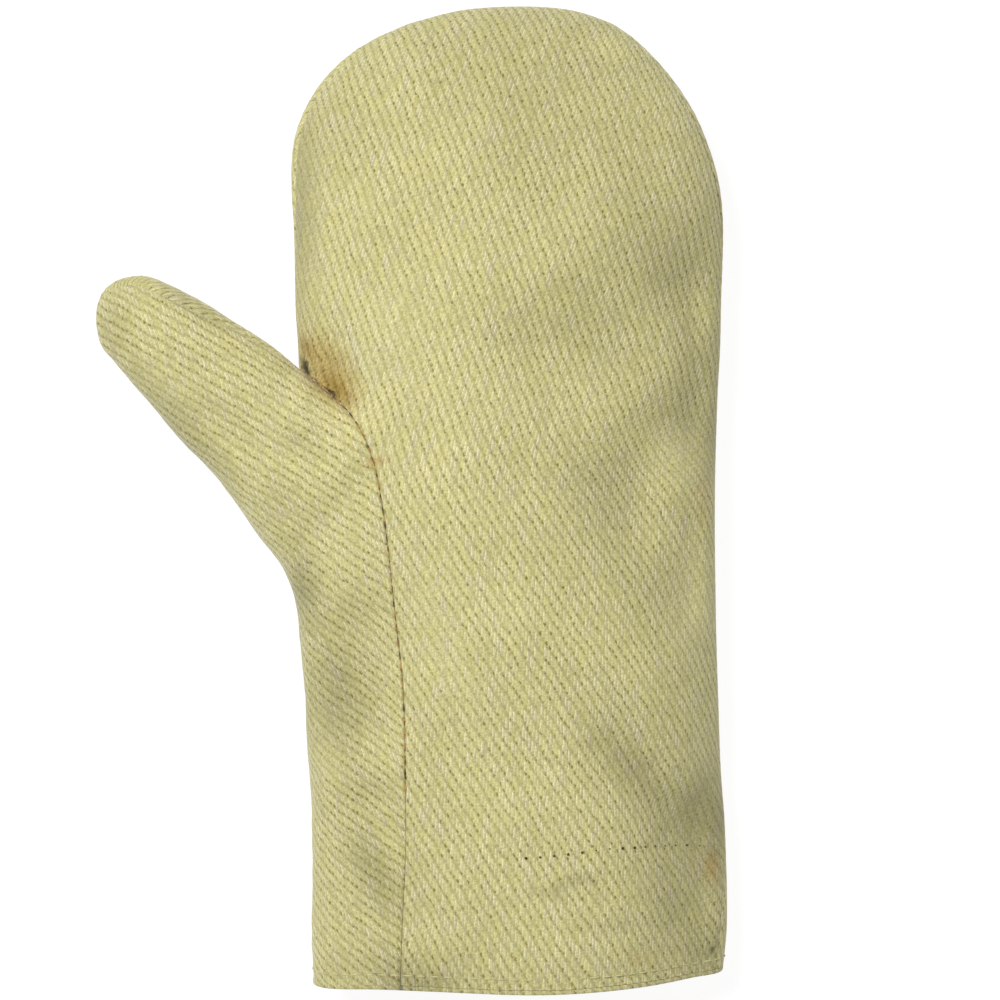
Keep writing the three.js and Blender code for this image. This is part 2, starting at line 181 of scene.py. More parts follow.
# Sections across the thumb and the strip below it, from the thumb's tip down to the cuff,
# each from the outer fold (out) to the inner seam (top).
CROTCH = 9
THUMB = Table("rung topX topY topZ outX outY outZ bulge turn lap body", [
    (0, -106.8, 61.8, 12, -106.8, 61.8, 12, 0, 180, 0, 0),
    (1, -106.1, 67.7, 12.2, -106, 56.1, 12.2, 5.2, 180, 0.1, 0),
    (2, -103.4, 71.9, 12.5, -104.3, 51.2, 12.5, 8, 180, 0.16, 0),
    (3, -98.2, 75.1, 13, -100.6, 46.6, 13, 10.5, 180, 0.19, 0),
    (4, -90.4, 75.8, 13.5, -95.6, 40.2, 13.5, 12.5, 180, 0.2, 0),
    (5, -81.4, 72.4, 14.5, -89.5, 33.5, 14, 14, 180, 0.2, 0),
    (6, -70.1, 66.7, 15.5, -82.1, 25.1, 14.5, 15, 180, 0.18, 0),
    (7, -58.3, 59.6, 17, -73.4, 15.3, 15.5, 15.5, 180, 0.14, 0),
    (8, -47.6, 52.2, 19, -64.7, 5.2, 16.5, 16, 180, 0.08, 0),
    (9, -37.9, 44.4, 21.2, -57.3, -3.2, 17.5, 16.5, 180, 0, 0),
    (10, -27, 35.6, 23, -50.9, -11.9, 18.5, 18, 150, 0, 0),
    (11, -18.3, 26.5, 24, -44.2, -20.8, 19.5, 20, 122, 0, 0),
    (12, -12.3, 14.1, 24, -40.2, -30.2, 20.5, 21.5, 104, 0, 0),
    (13, -8.9, -1.7, 24, -37.8, -39.6, 21.2, 22.5, 94, 0, 0.1),
    (14, -6.6, -18.5, 24, -36.5, -50.4, 22, 23, 90, 0, 0.35),
    (15, -4.5, -39.3, 24, -35.8, -63.2, 22, 23, 88, 0, 0.7),
    (16, -2.2, -60.5, 24, -35.1, -77.3, 22, 23, 88, 0, 0.95),
    (17, -1.5, -84, 24, -34.1, -94.1, 22, 23, 88, 0, 1),
    (18, -1.2, -110.9, 24, -33.4, -114.9, 22, 23, 88, 0, 1),
    (19, -2.2, -136.1, 24, -33.1, -136.8, 22, 23, 88, 0, 1),
    (20, -2.9, HEM_Y + LIP, 24, -33, HEM_Y + LIP, 22, 23, 88, 0, 1),
])
LAST_RUNG = 20

# Folds and dents of the front: width and rise, and the places of the line that each lies
# along. A positive rise is a ridge and a negative one a valley.
FOLDS = {
    "crest beside the seam": (20, 2.2, [(26, 100), (20, 20), (24, -50)]),
    "swell above the slack": (13, 2.2, [(52, 80), (86, 96)]),
    "upper slack": (15, -3.6, [(46, 48), (68, 58), (98, 66)]),
    "palm slack": (18, -1.6, [(60, 42), (96, 50)]),
    "palm crease": (12, -4.8, [(102, 30), (86, 22), (76, 8), (72, -10)]),
    "heel hollow": (10, -3.2, [(98, -10), (92, -34)]),
    "heel swell": (13, 3.6, [(42, -42), (62, -54), (78, -70), (90, -90)]),
    "wrist fold": (12, -5, [(66, -84), (78, -92), (90, -110)]),
    "cuff side": (16, -4, [(92, -112), (92, -160)]),
    "thumb side hollow": (7, -1.6, [(-25, 98), (-25, 56)]),
    "crotch hollow": (9, -4, [(-30, 44), (-20, 36)]),
    "hollow under the thumb": (12, -6, [(-17, -44), (-14, -74)]),
    "strip swell": (10, 1.6, [(-28, -86), (-26, -98)]),
    "strip crease": (9, -4.5, [(-12, -100), (-4, -120), (2, -138)]),
    "thumb root crease": (7, -2, [(-34, -16), (-22, -2), (-14, 8)]),
    "thumb wrinkle": (7, -3, [(-68, 28), (-50, 18), (-32, 15)]),
}
FOLD_EDGE = 0.16


def smooth(value: Array, low: float, high: float) -> Array:
    """A smooth step from 0 at low to 1 at high."""
    t = np.clip((value - low) / (high - low), 0, 1)
    return t * t * (3 - 2 * t)


def mix(start: Any, end: Any, share: Any) -> Any:
    """The value that lies between start and end by that share."""
    return start + (end - start) * share


def away_from(line: Sequence[Tuple[float, float]], x: Array, y: Array) -> Array:
    """Distance of each place from a line."""
    nearest = np.full(np.broadcast(x, y).shape, np.inf)
    for (x0, y0), (x1, y1) in zip(line, line[1:]):
        along_x, along_y = x1 - x0, y1 - y0
        t = np.clip(((x - x0) * along_x + (y - y0) * along_y) / (along_x**2 + along_y**2), 0, 1)
        nearest = np.minimum(nearest, np.hypot(x - x0 - t * along_x, y - y0 - t * along_y))
    return nearest


def fold_rise(x: Array, y: Array) -> Array:
    """Height that the folds add to the front at each place."""
    rise = np.zeros(np.broadcast(x, y).shape)
    for width, height, line in FOLDS.values():
        rise += height * np.exp(-((away_from(line, x, y) / width) ** 2))
    return rise


@dataclass
class Section:
    """The body's section at each of some places along its length."""

    centre: Array
    half: Array
    crown: Array
    edge: Array
    lean: Array
    drop: Array
    open: Array

    @classmethod
    def at(cls, y: Array) -> "Section":
        """The sections at y, closed at the finger end."""
        closing = np.clip((y - CAP_START) / (TIP_Y - CAP_START), 0, 1)
        narrow = (1 - closing**CAP_WIDTH_POWER) ** (1 / CAP_WIDTH_POWER)
        return cls(
            BODY.at("centre", y),
            BODY.at("half", y) * narrow,
            BODY.at("crown", y),
            BODY.at("edge", y),
            BODY.at("lean", y),
            BODY.at("drop", y),
            np.sqrt(1 - closing**CAP_HEIGHT_POWER),
        )

    def across(self, x: Array) -> Array:
        """Where x lies across the section, from -1 at the thumb side to 1."""
        return np.clip((x - self.centre) / np.maximum(self.half, 1e-6), -1, 1)

    def rim(self, across: Array) -> Array:
        """Height at which the front and the back meet, were they both flat."""
        return self.edge - self.drop * smooth(across, 0, 1)


def fold_share(across: Array) -> Array:
    """Share of the folds that is left near an outline."""
    return smooth(1 - np.abs(across), 0, FOLD_EDGE)


def front_height(across: Array, y: Array, folds: bool = True) -> Array:
    """Height of the body's front, with its folds or without them."""
    section = Section.at(y)
    rim = section.rim(across)
    leaning = across + section.lean * (1 - np.minimum(across**2, 1))
    arch = np.sqrt(1 - np.minimum(np.abs(leaning), 1) ** FRONT_POWER)
    height = rim + section.open * (section.crown - rim) * arch
    if folds:
        x = section.centre + section.half * across
        height = height + fold_rise(x, y) * fold_share(across) * section.open
    return height


def back_height(across: Array, y: Array) -> Array:
    """Height of the body's back, pressed flat where it rests."""
    section = Section.at(y)
    arch = np.sqrt(1 - np.minimum(np.abs(across), 1) ** BACK_POWER)
    return np.maximum(0, section.rim(across) * (1 - BACK_PRESS * section.open * arch))


def ring_point(angle: Array, y: Array) -> Array:
    """Points of the whole section: the front from 0 to pi and the back on to two pi."""
    turned = np.mod(angle, FULL_TURN)
    across = -np.cos(turned)
    section = Section.at(y)
    front = turned <= math.pi
    z = np.where(front, front_height(across, y), back_height(across, y))
    x = section.centre + section.half * across
    return np.stack([x, np.broadcast_to(y, x.shape), z], -1)


def thumb_point(around: Array, rung: Array) -> Array:
    """Points of the thumb's skin and of the strip below it.

    Args:
        around: From -1 at the inner edge on the back, through 0 at the outer fold, to 1 at
            the inner edge on the front; below -1 the cloth comes over the upper edge.
        rung: Place along the thumb and the strip.

    Returns:
        The points, in millimetres.
    """
    around, rung = np.broadcast_arrays(around, rung)
    top_x, top_y, top_z = (THUMB.at(name, rung) for name in ("topX", "topY", "topZ"))
    out_x, out_y, out_z = (THUMB.at(name, rung) for name in ("outX", "outY", "outZ"))
    wrapped = np.where(around < -1, around + 2, around)
    side = np.where(wrapped < 0, -1.0, 1.0)
    front = side > 0
    turn = np.radians(np.minimum(THUMB.at("turn", rung), 180))
    angle = turn * np.abs(wrapped)
    inward = (1 - np.cos(angle)) / (1 - np.cos(turn))
    length = np.maximum(np.hypot(top_x - out_x, top_y - out_y), 1e-6)
    reach = 1 - SEAM_GAP / 2 / np.maximum(length, SEAM_GAP)
    x = mix(out_x, top_x, inward * reach)
    y = mix(out_y, top_y, inward * reach)
    seam_across = Section.at(top_y).across(top_x)
    on_body = rung > CROTCH
    body_front = front_height(seam_across, top_y, folds=False)
    seam_height = np.where(front, body_front, back_height(seam_across, top_y))
    end = np.where(on_body, seam_height, top_z)
    seam_share = np.where(on_body, fold_share(seam_across), 0)
    share = smooth(inward, 0, FOLD_EDGE) * mix(1, seam_share, inward**2)
    bulge = THUMB.at("bulge", rung)
    bulge = np.where(front, bulge, np.minimum(out_z * BACK_PRESS, bulge * TIP_PRESS))
    chord = end - side * bulge * np.sin(turn)
    own = mix(out_z, chord, inward) + side * bulge * np.sin(angle)
    across = mix(-1, seam_across, inward)
    of_body = np.where(front, front_height(across, y, folds=False), back_height(across, y))
    folds = np.where(front, fold_rise(x, y) * share, 0)
    z = mix(own, of_body, np.clip(THUMB.at("body", rung), 0, 1)) + folds
    return np.stack([x, y, np.maximum(0, z)], -1)


def settle(points: Array) -> Array:
    """Moves points to the object's own place, with the cuff's edge shaped."""
    x, y, z = np.moveaxis(points, -1, 0)
    section = Section.at(y)
    near = smooth(-y, -CUFF_LIFT_FROM, -HEM_Y)
    right_side = section.half + section.centre
    left_side = section.half - section.centre
    right = smooth((x - right_side) / CUFF_LIFT_REACH + 1, 0, 1)
    left = smooth((-x - left_side) / CUFF_LIFT_REACH + 1, 0, 1)
    swell = CUFF_SWELL * np.exp(-(((x - CUFF_SWELL_X) / CUFF_SWELL_REACH) ** 2))
    lift = near * (CUFF_LIFT_RIGHT * right**2 + CUFF_LIFT_LEFT * left**2 - swell)
    return np.stack([x + MIDDLE_X, y + lift + MIDDLE_Y, z], -1)


def seam_line(y: Array) -> Array:
    """X of the seam between palm and thumb, for places below the crotch."""
    rung = np.linspace(LAST_RUNG, CROTCH, 600)
    return np.interp(y, THUMB.at("topY", rung), THUMB.at("topX", rung))


CROTCH_Y = float(THUMB.at("topY", np.array([CROTCH]))[0])


def from_photo(pixel_x: Array, pixel_y: Array, height: float = FRONT_HEIGHT) -> Tuple[Array, Array]:
    """The place in the tables' frame of a pixel of the photograph, at a height in mm."""
    nearer = (EYE_HEIGHT - height) / (EYE_HEIGHT - FOCUS_HEIGHT)
    seen_x = PHOTO_MIDDLE + (np.asarray(pixel_x, float) - PHOTO_MIDDLE) * nearer
    seen_y = PHOTO_MIDDLE + (np.asarray(pixel_y, float) - PHOTO_MIDDLE) * nearer
    return (seen_x - PHOTO_ZERO_X) * MM_PER_PIXEL, (PHOTO_ZERO_Y - seen_y) * MM_PER_PIXEL


@dataclass(frozen=True)
class Weave:
    """Thread counts of the cloth: warp number a and weft number b at each place.

    The numbers of threads for each pixel of the photograph are its weave's measured pitch.
    """

    warp_x: float
    warp_y_upper: float
    warp_y_lower: float
    weft_x_upper: float
    weft_x_lower: float
    weft_y_upper: float
    weft_y_lower: float
    change_from: float
    change_to: float
    pivot_x: float

    def count(self, x: Array, y: Array) -> Array:
        """Thread counts at places of the flat cloth.

        Args:
            x: Millimetres across.
            y: Millimetres along, towards the finger end.

        Returns:
            The warp and the weft number, in the last axis.
        """
        across = x / MM_PER_PIXEL - self.pivot_x
        down = -y / MM_PER_PIXEL
        steps = np.linspace(-600, 600, 1201)
        share = smooth(steps, self.change_from, self.change_to)
        warp_slope = mix(self.warp_y_upper, self.warp_y_lower, share)
        weft_slope = mix(self.weft_y_upper, self.weft_y_lower, share)
        warp_sum = np.interp(down, steps, np.cumsum(warp_slope))
        weft_sum = np.interp(down, steps, np.cumsum(weft_slope))
        here = smooth(down, self.change_from, self.change_to)
        warp = self.warp_x * across + warp_sum
        weft = mix(self.weft_x_upper, self.weft_x_lower, here) * across + weft_sum
        return np.stack([warp, weft], -1)


PALM_WEAVE = Weave(0.3, 0.088, 0.017, 0.03, 0.0, -0.215, -0.203, -90, 10, 90)
THUMB_WEAVE = Weave(0.285, -0.105, -0.105, -0.11, -0.075, -0.19, -0.197, 60, 160, -110)
BACK_WEAVE = Weave(0.3, 0.05, 0.05, 0.02, 0.02, -0.205, -0.205, -90, 10, 90)

# The line down the palm from which its thread counts are measured
PALM_MIDDLE_X = 34.0


@dataclass(frozen=True)
class Ripple:
    """Slight unevenness of the cloth: a sum of waves whose places are drawn once."""

    height: float
    shortest: float
    longest: float
    waves: int
    seed: int

    def at(self, x: Array, y: Array) -> Array:
        """Height of the unevenness at each place."""
        draw = np.random.default_rng(self.seed)
        total = np.zeros(np.broadcast(x, y).shape)
        for _ in range(self.waves):
            length = draw.uniform(self.shortest, self.longest)
            heading = draw.uniform(0, FULL_TURN)
            phase = draw.uniform(0, FULL_TURN)
            along = x * math.cos(heading) + y * math.sin(heading)
            total += np.sin(FULL_TURN * along / length + phase)
        return total * self.height / math.sqrt(self.waves)


SLACK = Ripple(height=0.3, shortest=16, longest=46, waves=14, seed=5)
CRUMPLE = Ripple(height=0.07, shortest=5, longest=11, waves=18, seed=8)


@dataclass(frozen=True)
class SeamRoll:
    """How the cloth rolls down into a seam, with small puckers from its stitches."""

    depth: float = 0.85
    width: float = 1.7
    pucker: float = 0.12
    pucker_reach: float = 5.0
    pitch: float = 4.3

    def at(self, away: Array, along: Array) -> Array:
        """Height at a distance from the seam and at a place along it."""
        roll = -self.depth * np.clip(1 - away / self.width, 0, 1) ** 2
        wave = np.sin(FULL_TURN * along / self.pitch)
        return roll + self.pucker * wave * np.exp(-away / self.pucker_reach)


def normals_of(points: Array) -> Array:
    """Outward directions of a grid of points, by differences along its rows and columns."""
    along = np.gradient(points, axis=1)
    up = np.gradient(points, axis=0)
    normal = np.cross(along, up)
    return normal / np.maximum(np.linalg.norm(normal, axis=-1, keepdims=True), 1e-9)


# Beside the seam below the crotch the relief goes straight up: all of it nearer than the
# first distance, none of it past the second.
UPWARD_WITHIN = 4
UPWARD_UNTIL = 9


def raised(points: Array, normal: Array, height: Array, away: Array, below: Array) -> Array:
    """Moves a grid of points out by a height.

    Args:
        points: The grid.
        normal: Its outward directions.
        height: How far each point moves.
        away: Each point's distance from the seam.
        below: Share of each row that lies below the crotch, where points near the seam go
            straight up.

    Returns:
        The moved grid.
    """
    near = smooth(-away, -UPWARD_UNTIL, -UPWARD_WITHIN)
    upward = (below[:, None] * near)[..., None]
    return points + mix(normal, np.array([0, 0, 1.0]), upward) * height[..., None]


# Distances from a sewn edge of the columns that its roll needs, and where even ones start
EDGE_COLUMNS = (0, 0.3, 0.6, 0.95, 1.35, 1.8, 2.4, 3.2)
EVEN_FROM = 4.2


def edge_steps(count: int, length: float) -> Array:
    """Shares of a row at which its columns lie, close together near both sewn edges.

    Args:
        count: Number of columns between the two edges' own.
        length: Usual length of the row.

    Returns:
        Rising shares from 0 to 1.
    """
    near = np.array(EDGE_COLUMNS) / length
    middle = np.linspace(EVEN_FROM / length, 1 - EVEN_FROM / length, count)
    return np.concatenate([near, middle, 1 - near[::-1]])


def arc_lengths(points: Array) -> Array:
    """Length along each row of a grid, from its first point."""
    step = np.linalg.norm(np.diff(points, axis=1), axis=-1)
    return np.concatenate([np.zeros((len(points), 1)), np.cumsum(step, axis=1)], axis=1)


def spread(skin: Callable[[Array, Array], Array], first: Array, last: Array, rows: Array,
           shares: Array, trim: float) -> Tuple[Array, Array, Array]:
    """Lays columns along the rows of a skin by real length.

    Args:
        skin: Gives a point from a parameter across and a row's place.
        first: The parameter across at the start of each row.
        last: The same at its end.
        rows: The rows' places.
        shares: Where the columns lie along a row, from 0 to 1.
        trim: Length left free at each end.

    Returns:
        The parameter across of each column, its length from the row's start, and the
        length of each row.
    """
    dense = np.linspace(0, 1, 500)
    across = mix(first[:, None], last[:, None], dense[None, :])
    length = arc_lengths(skin(across, rows[:, None]))
    whole = length[:, -1]
    cut = np.minimum(trim, whole / 4)
    target = mix(cut[:, None], (whole - cut)[:, None], shares[None, :])
    found = np.stack([np.interp(t, s, a) for t, s, a in zip(target, length, across)])
    return found, target, whole


def grid_faces(rows: int, columns: int, wrap_rows: bool = False,
               wrap_columns: bool = False) -> Array:
    """Corner numbers of a grid's four-sided faces, wrapped round where asked."""
    row = np.arange(rows if wrap_rows else rows - 1)[:, None]
    column = np.arange(columns if wrap_columns else columns - 1)[None, :]
    a = row * columns + column
    b = row * columns + (column + 1) % columns
    c = ((row + 1) % rows) * columns + (column + 1) % columns
    d = ((row + 1) % rows) * columns + column
    return np.stack(np.broadcast_arrays(a, b, c, d), -1).reshape(-1, 4)


THREADS = "threads"
SHARP_EDGE = math.radians(50)


def mesh_from_grid(name: str, points: Array, threads: Array, faces: Array) -> bpy.types.Object:
    """Makes a mesh object from points in millimetres, with points at one place joined.

    Args:
        name: The object's name.
        points: The corner points.
        threads: Warp and weft number of each point.
        faces: Four corner numbers for each face.

    Returns:
        The object, linked to the scene.
    """
    flat = points.reshape(-1, 3) * MM
    counts = threads.reshape(-1, 2)
    keys, first, number = np.unique(
        np.round(flat, 7), axis=0, return_index=True, return_inverse=True)
    number = number.reshape(-1)
    polygons = []
    for face in number[faces]:
        ring = list(dict.fromkeys(int(corner) for corner in face))
        if len(ring) > 2:
            polygons.append(ring)
    mesh = bpy.data.meshes.new(name)
    mesh.from_pydata(flat[first].tolist(), [], polygons)
    layer = mesh.attributes.new(THREADS, "FLOAT_VECTOR", "POINT")
    values = np.zeros((len(first), 3), np.float32)
    values[:, :2] = counts[first]
    layer.data.foreach_set("vector", values.ravel())
    mesh.update()
    piece = bpy.data.objects.new(name, mesh)
    bpy.context.scene.collection.objects.link(piece)
    return piece


def applied(piece: bpy.types.Object) -> bpy.types.Object:
    """Turns a piece with modifiers into a plain mesh of the same name."""
    shape = piece.evaluated_get(bpy.context.evaluated_depsgraph_get())
    old = piece.data
    mesh = bpy.data.meshes.new_from_object(shape)
    piece.modifiers.clear()
    piece.data = mesh
    name = old.name
    bpy.data.meshes.remove(old)
    mesh.name = name
    mesh.polygons.foreach_set("use_smooth", np.ones(len(mesh.polygons), bool))
    mesh.set_sharp_from_angle(angle=SHARP_EDGE)
    return piece


def thickened(piece: bpy.types.Object) -> bpy.types.Object:
    """Gives a sheet its wall, towards the inside, with closed rims."""
    wall = piece.modifiers.new("wall", "SOLIDIFY")
    wall.thickness = WALL * MM
    wall.offset = -1
    wall.use_rim = True
    wall.use_quality_normals = True
    return applied(piece)


class Slot(Enum):
    """The record's material slots."""

    PALM = "palm_cloth"
    BACK = "back_cloth"
    THUMB = "thumb_cloth"
    HEM = "hem_cloth"


def linear(red: float, green: float, blue: float) -> Colour:
    """A screen colour, from 0 to 255, as the renderer's linear one."""
    def one(value: float) -> float:
        share = value / 255
        return share / 12.92 if share <= 0.04045 else ((share + 0.055) / 1.055) ** 2.4
    return one(red), one(green), one(blue)


Number = Union[float, int, "Value"]


class Value:
    """A shader socket that takes part in arithmetic, adding a Math node at each step."""

    def __init__(self, nodes: "Nodes", socket: Optional[bpy.types.NodeSocket]) -> None:
        """Keeps the socket and the tree that it belongs to."""
        self.nodes = nodes
        self.socket = socket

    def math(self, operation: str, *others: Number) -> "Value":
        """One Math node with this value as its first input."""
        inputs = dict(enumerate((self,) + others))
        return self.nodes.add("ShaderNodeMath", {"operation": operation}, inputs)

    def __add__(self, other: Number) -> "Value":
        """self + other."""
        return self.math("ADD", other)

    __radd__ = __add__

    def __mul__(self, other: Number) -> "Value":
        """self * other."""
        return self.math("MULTIPLY", other)

    __rmul__ = __mul__

    def __sub__(self, other: Number) -> "Value":
        """self - other."""
        return self.math("SUBTRACT", other)

    def __rsub__(self, other: Number) -> "Value":
        """other - self."""
        return self.math("MULTIPLY_ADD", -1.0, other)

    def __truediv__(self, other: Number) -> "Value":
        """self / other."""
        return self.math("DIVIDE", other)

    def floor(self) -> "Value":
        """The whole number below this value."""
        return self.math("FLOOR")

    def abs(self) -> "Value":
        """This value without its sign."""
        return self.math("ABSOLUTE")

    def sqrt(self) -> "Value":
        """The square root, 0 where there is none."""
        return self.math("MAXIMUM", 0.0).math("SQRT")

    def ramp(self, low: float, high: float) -> "Value":
        """A smooth step from 0 at low to 1 at high."""
        return self.nodes.add(
            "ShaderNodeMapRange", {"interpolation_type": "SMOOTHSTEP"},
            {"Value": self, "From Min": low, "From Max": high})


class Nodes:
    """A material's node tree."""

    def __init__(self, material: bpy.types.Material) -> None:
        """Empties the material's tree."""
        material.use_nodes = True
        self.tree = material.node_tree
        self.tree.nodes.clear()

    def add(self, kind: str, settings: Optional[dict] = None, inputs: Optional[dict] = None,
            output: Union[int, str] = 0) -> Value:
        """Adds one node.

        Args:
            kind: The node's type.
            settings: Its properties, which are set first.
            inputs: Numbers, colours or Values for its sockets, by name or place.
            output: The name or place of the output to give back.

        Returns:
            That output.
        """
        node = self.tree.nodes.new(kind)
        for name, value in (settings or {}).items():
            setattr(node, name, value)
        for name, value in (inputs or {}).items():
            if isinstance(value, Value):
                self.tree.links.new(value.socket, node.inputs[name])
            else:
                node.inputs[name].default_value = value
        return Value(self, node.outputs[output] if node.outputs else None)

    def surface(self, shader: Value) -> None:
        """Makes a shader the material's surface."""
        self.add("ShaderNodeOutputMaterial", {}, {"Surface": shader})

    def split(self, vector: Value) -> Tuple[Value, Value, Value]:
        """The three numbers of a vector."""
        first = self.add("ShaderNodeSeparateXYZ", {}, {0: vector})
        outputs = first.socket.node.outputs
        return first, Value(self, outputs[1]), Value(self, outputs[2])

    def blend(self, share: Number, start: Any, end: Any, kind: str = "MIX") -> Value:
        """Mixes two colours by a share."""
        colour_inputs = {0: share}
        for place, colour in ((6, start), (7, end)):
            colour_inputs[place] = colour if isinstance(colour, Value) else (*colour, 1.0)
        settings = {"data_type": "RGBA", "blend_type": kind, "clamp_factor": True}
        return self.add("ShaderNodeMix", settings, colour_inputs, output=2)

    def combine(self, x: Number, y: Number, z: Number) -> Value:
        """A vector from three numbers."""
        return self.add("ShaderNodeCombineXYZ", {}, {0: x, 1: y, 2: z})

    def noise(self, place: Value, scale: float, detail: float = 2.0) -> Value:
        """Soft noise from 0 to 1."""
        inputs = {"Vector": place, "Scale": scale, "Detail": detail}
        return self.add("ShaderNodeTexNoise", {}, inputs)

    def random(self, x: Number, y: Number, z: Number) -> Value:
        """A number from 0 to 1 that is the same wherever x, y and z are."""
        return self.add(
            "ShaderNodeTexWhiteNoise", {"noise_dimensions": "3D"},
            {"Vector": self.combine(x, y, z)})


class Plan:
    """The places of a surface, seen from above."""

    def __init__(self, nodes: Nodes, place: Value) -> None:
        """Takes the height off each place, and keeps it beside."""
        self.nodes = nodes
        self.flat = nodes.add(
            "ShaderNodeVectorMath", {"operation": "MULTIPLY"}, {0: place, 1: (1.0, 1.0, 0.0)})
        self.height = nodes.split(place)[2]
        self.known: Dict[float, Value] = {}

    def over(self, lowest: float) -> Value:
        """1 where the surface lies over a height in millimetres, and 0 under it."""
        if lowest not in self.known:
            self.known[lowest] = self.height.ramp((lowest - 1) * MM, (lowest + 1) * MM)
        return self.known[lowest]


@dataclass(frozen=True)
class Patch:
    """A soft oval of the front, by pixels of the photograph."""

    x: float
    y: float
    reach_x: float
    reach_y: float
    strength: float
    turn: float = 0.0
    lowest: float = 14.0
    edge: float = 1.0

    def mask(self, plan: Plan) -> Value:
        """Strength of the patch at each place of the surface."""
        centre_x, centre_y = from_photo(self.x, self.y)
        inside = plan.nodes.add("ShaderNodeMapping", {"vector_type": "TEXTURE"}, {
            "Vector": plan.flat,
            "Location": ((float(centre_x) + MIDDLE_X) * MM, (float(centre_y) + MIDDLE_Y) * MM, 0.0),
            "Rotation": (0.0, 0.0, math.radians(self.turn)),
            "Scale": (self.reach_x * MM_PER_PIXEL * MM, self.reach_y * MM_PER_PIXEL * MM, 1.0)})
        away = plan.nodes.add(
            "ShaderNodeVectorMath", {"operation": "LENGTH"}, {0: inside}, "Value")
        mask = plan.nodes.add("ShaderNodeMapRange", {"interpolation_type": "SMOOTHSTEP"}, {
            "Value": away, "From Min": 1.0, "From Max": 1.0 - self.edge, "To Max": self.strength})
        return mask * plan.over(self.lowest)


# Colours of the front's patches; the first is the warm painted shade of the crotch hollow
CROTCH_HOLLOW_SHADE = linear(196, 168, 96)
GOLD = linear(160, 128, 58)
BROWN = linear(46, 38, 24)
GREY = linear(150, 144, 98)
PALE = linear(228, 222, 180)
ORANGE = linear(214, 168, 92)

# Coloured patches of the front, each with its own colour: stains and grime, painted shade in the
# crotch hollow, a painted highlight along the palm's fold, warm patches along the right edge and
# greyer patches low down
STAINS_AND_PAINTED_SHADE = (
    # The first six rows: painted shade and warm reflected light in the crotch hollow, darkest under
    # the thumb's edge and over the seam's rim. The seventh: a painted highlight along the ridge of
    # the palm's fold.
    (Patch(326, 370, 66, 36, 0.75, -54, edge=0.8), CROTCH_HOLLOW_SHADE),
    (Patch(304, 346, 20, 12, 0.6, -70, 8), GOLD),
    (Patch(336, 388, 36, 16, 0.85, -48, 8), GOLD),
    (Patch(303, 366, 16, 5, 0.9, -66, 8, 0.8), BROWN),
    (Patch(329, 392, 10, 4, 0.9, -40, 8, 0.6), BROWN),
    (Patch(318, 385, 32, 4, 0.8, -41, 8), GOLD),
    (Patch(352, 340, 62, 7, 0.5, -70), PALE),
    (Patch(376, 462, 8, 22, 0.45, -70), ORANGE),
    (Patch(716, 874, 15, 28, 0.5, 0, 8), ORANGE),
    (Patch(706, 500, 14, 44, 0.22, 0, 8), ORANGE),
    (Patch(640, 962, 26, 10, 0.25), ORANGE),
    (Patch(717, 958, 10, 3, 0.6, 52, 8), BROWN),
    (Patch(576, 880, 40, 12, 0.35, 10), GREY),
    (Patch(545, 890, 40, 10, 0.25, -10), GREY),
    (Patch(610, 925, 50, 14, 0.2), GREY),
    (Patch(420, 980, 60, 16, 0.3), GREY),
)

# Painted light and shade: lighter and darker stretches of the front, laid into the cloth's colour
PAINTED_LIGHT_AND_SHADE = (
    Patch(450, 450, 190, 330, 0.07),
    Patch(340, 420, 50, 60, 0.1),
    Patch(530, 770, 180, 290, 0.11),
    Patch(600, 950, 90, 60, 0.09),
    Patch(500, 30, 260, 100, -0.12),
    Patch(330, 110, 90, 90, -0.1),
    Patch(610, 40, 40, 30, 0.12),
    Patch(540, 120, 130, 90, -0.09),
    Patch(600, 345, 80, 60, -0.12),
    Patch(296, 200, 36, 160, -0.3, 0, 8),
    Patch(650, 220, 90, 90, -0.15),
    Patch(684, 275, 60, 50, -0.12),
    Patch(698, 345, 44, 60, -0.18, 0, 8),
    Patch(700, 425, 54, 90, -0.26, 0, 8),
    Patch(590, 475, 60, 64, -0.14),
    Patch(640, 570, 50, 50, -0.12),
    Patch(690, 870, 60, 170, -0.22),
    Patch(714, 830, 40, 80, -0.34, 0, 8),
    Patch(712, 960, 34, 44, -0.2, 0, 8),
    Patch(632, 770, 70, 34, -0.3, -50),
    Patch(635, 670, 30, 50, 0.08, 20),
    Patch(335, 700, 60, 120, -0.26),
    Patch(325, 770, 24, 30, 0.08),
    Patch(300, 590, 34, 60, -0.36, 0, 8),
    Patch(372, 870, 34, 70, -0.24, 30),
    Patch(400, 970, 110, 40, -0.2),
    Patch(175, 425, 130, 30, -0.18, -48, 4),
    Patch(190, 305, 80, 16, -0.2, -30, 4),
    Patch(106, 315, 40, 50, -0.16, 0, 4),
)

# Where the weave stands out less: its painted valley and recess shade, its painted glint and its
# bump are weaker there
CALM = (
    Patch(300, 210, 46, 190, 0.7),
    Patch(690, 450, 60, 60, 0.75),
    Patch(700, 600, 50, 90, 0.6),
    Patch(705, 830, 50, 120, 0.7),
    Patch(440, 640, 40, 150, 0.45, 15),
    Patch(400, 330, 60, 110, 0.35),
    Patch(325, 740, 30, 60, 0.5),
    Patch(170, 390, 90, 24, 0.5, -40, 4),
)


@dataclass(frozen=True)
class Relief:
    """What the weave is like at each place of the cloth.

    height runs from 0 to 1. crossing is how far above the place lies where the warp goes
    under a weft, in wefts. shift is how far off the middle of its thread, below 0 on the
    left. valley is 1 between two ribs. thread and number tell one float from another.
    """

    height: Value
    crossing: Value
    shift: Value
    valley: Value
    thread: Value
    number: Value


@dataclass(frozen=True)
class Grain:
    """What tells one place of a thread from another.

    fibre is drawn out along the threads, and fluff is finer than they are. tone and hue are
    drawn once for each float.
    """

    fibre: Value
    fluff: Value
    tone: Value
    hue: Value


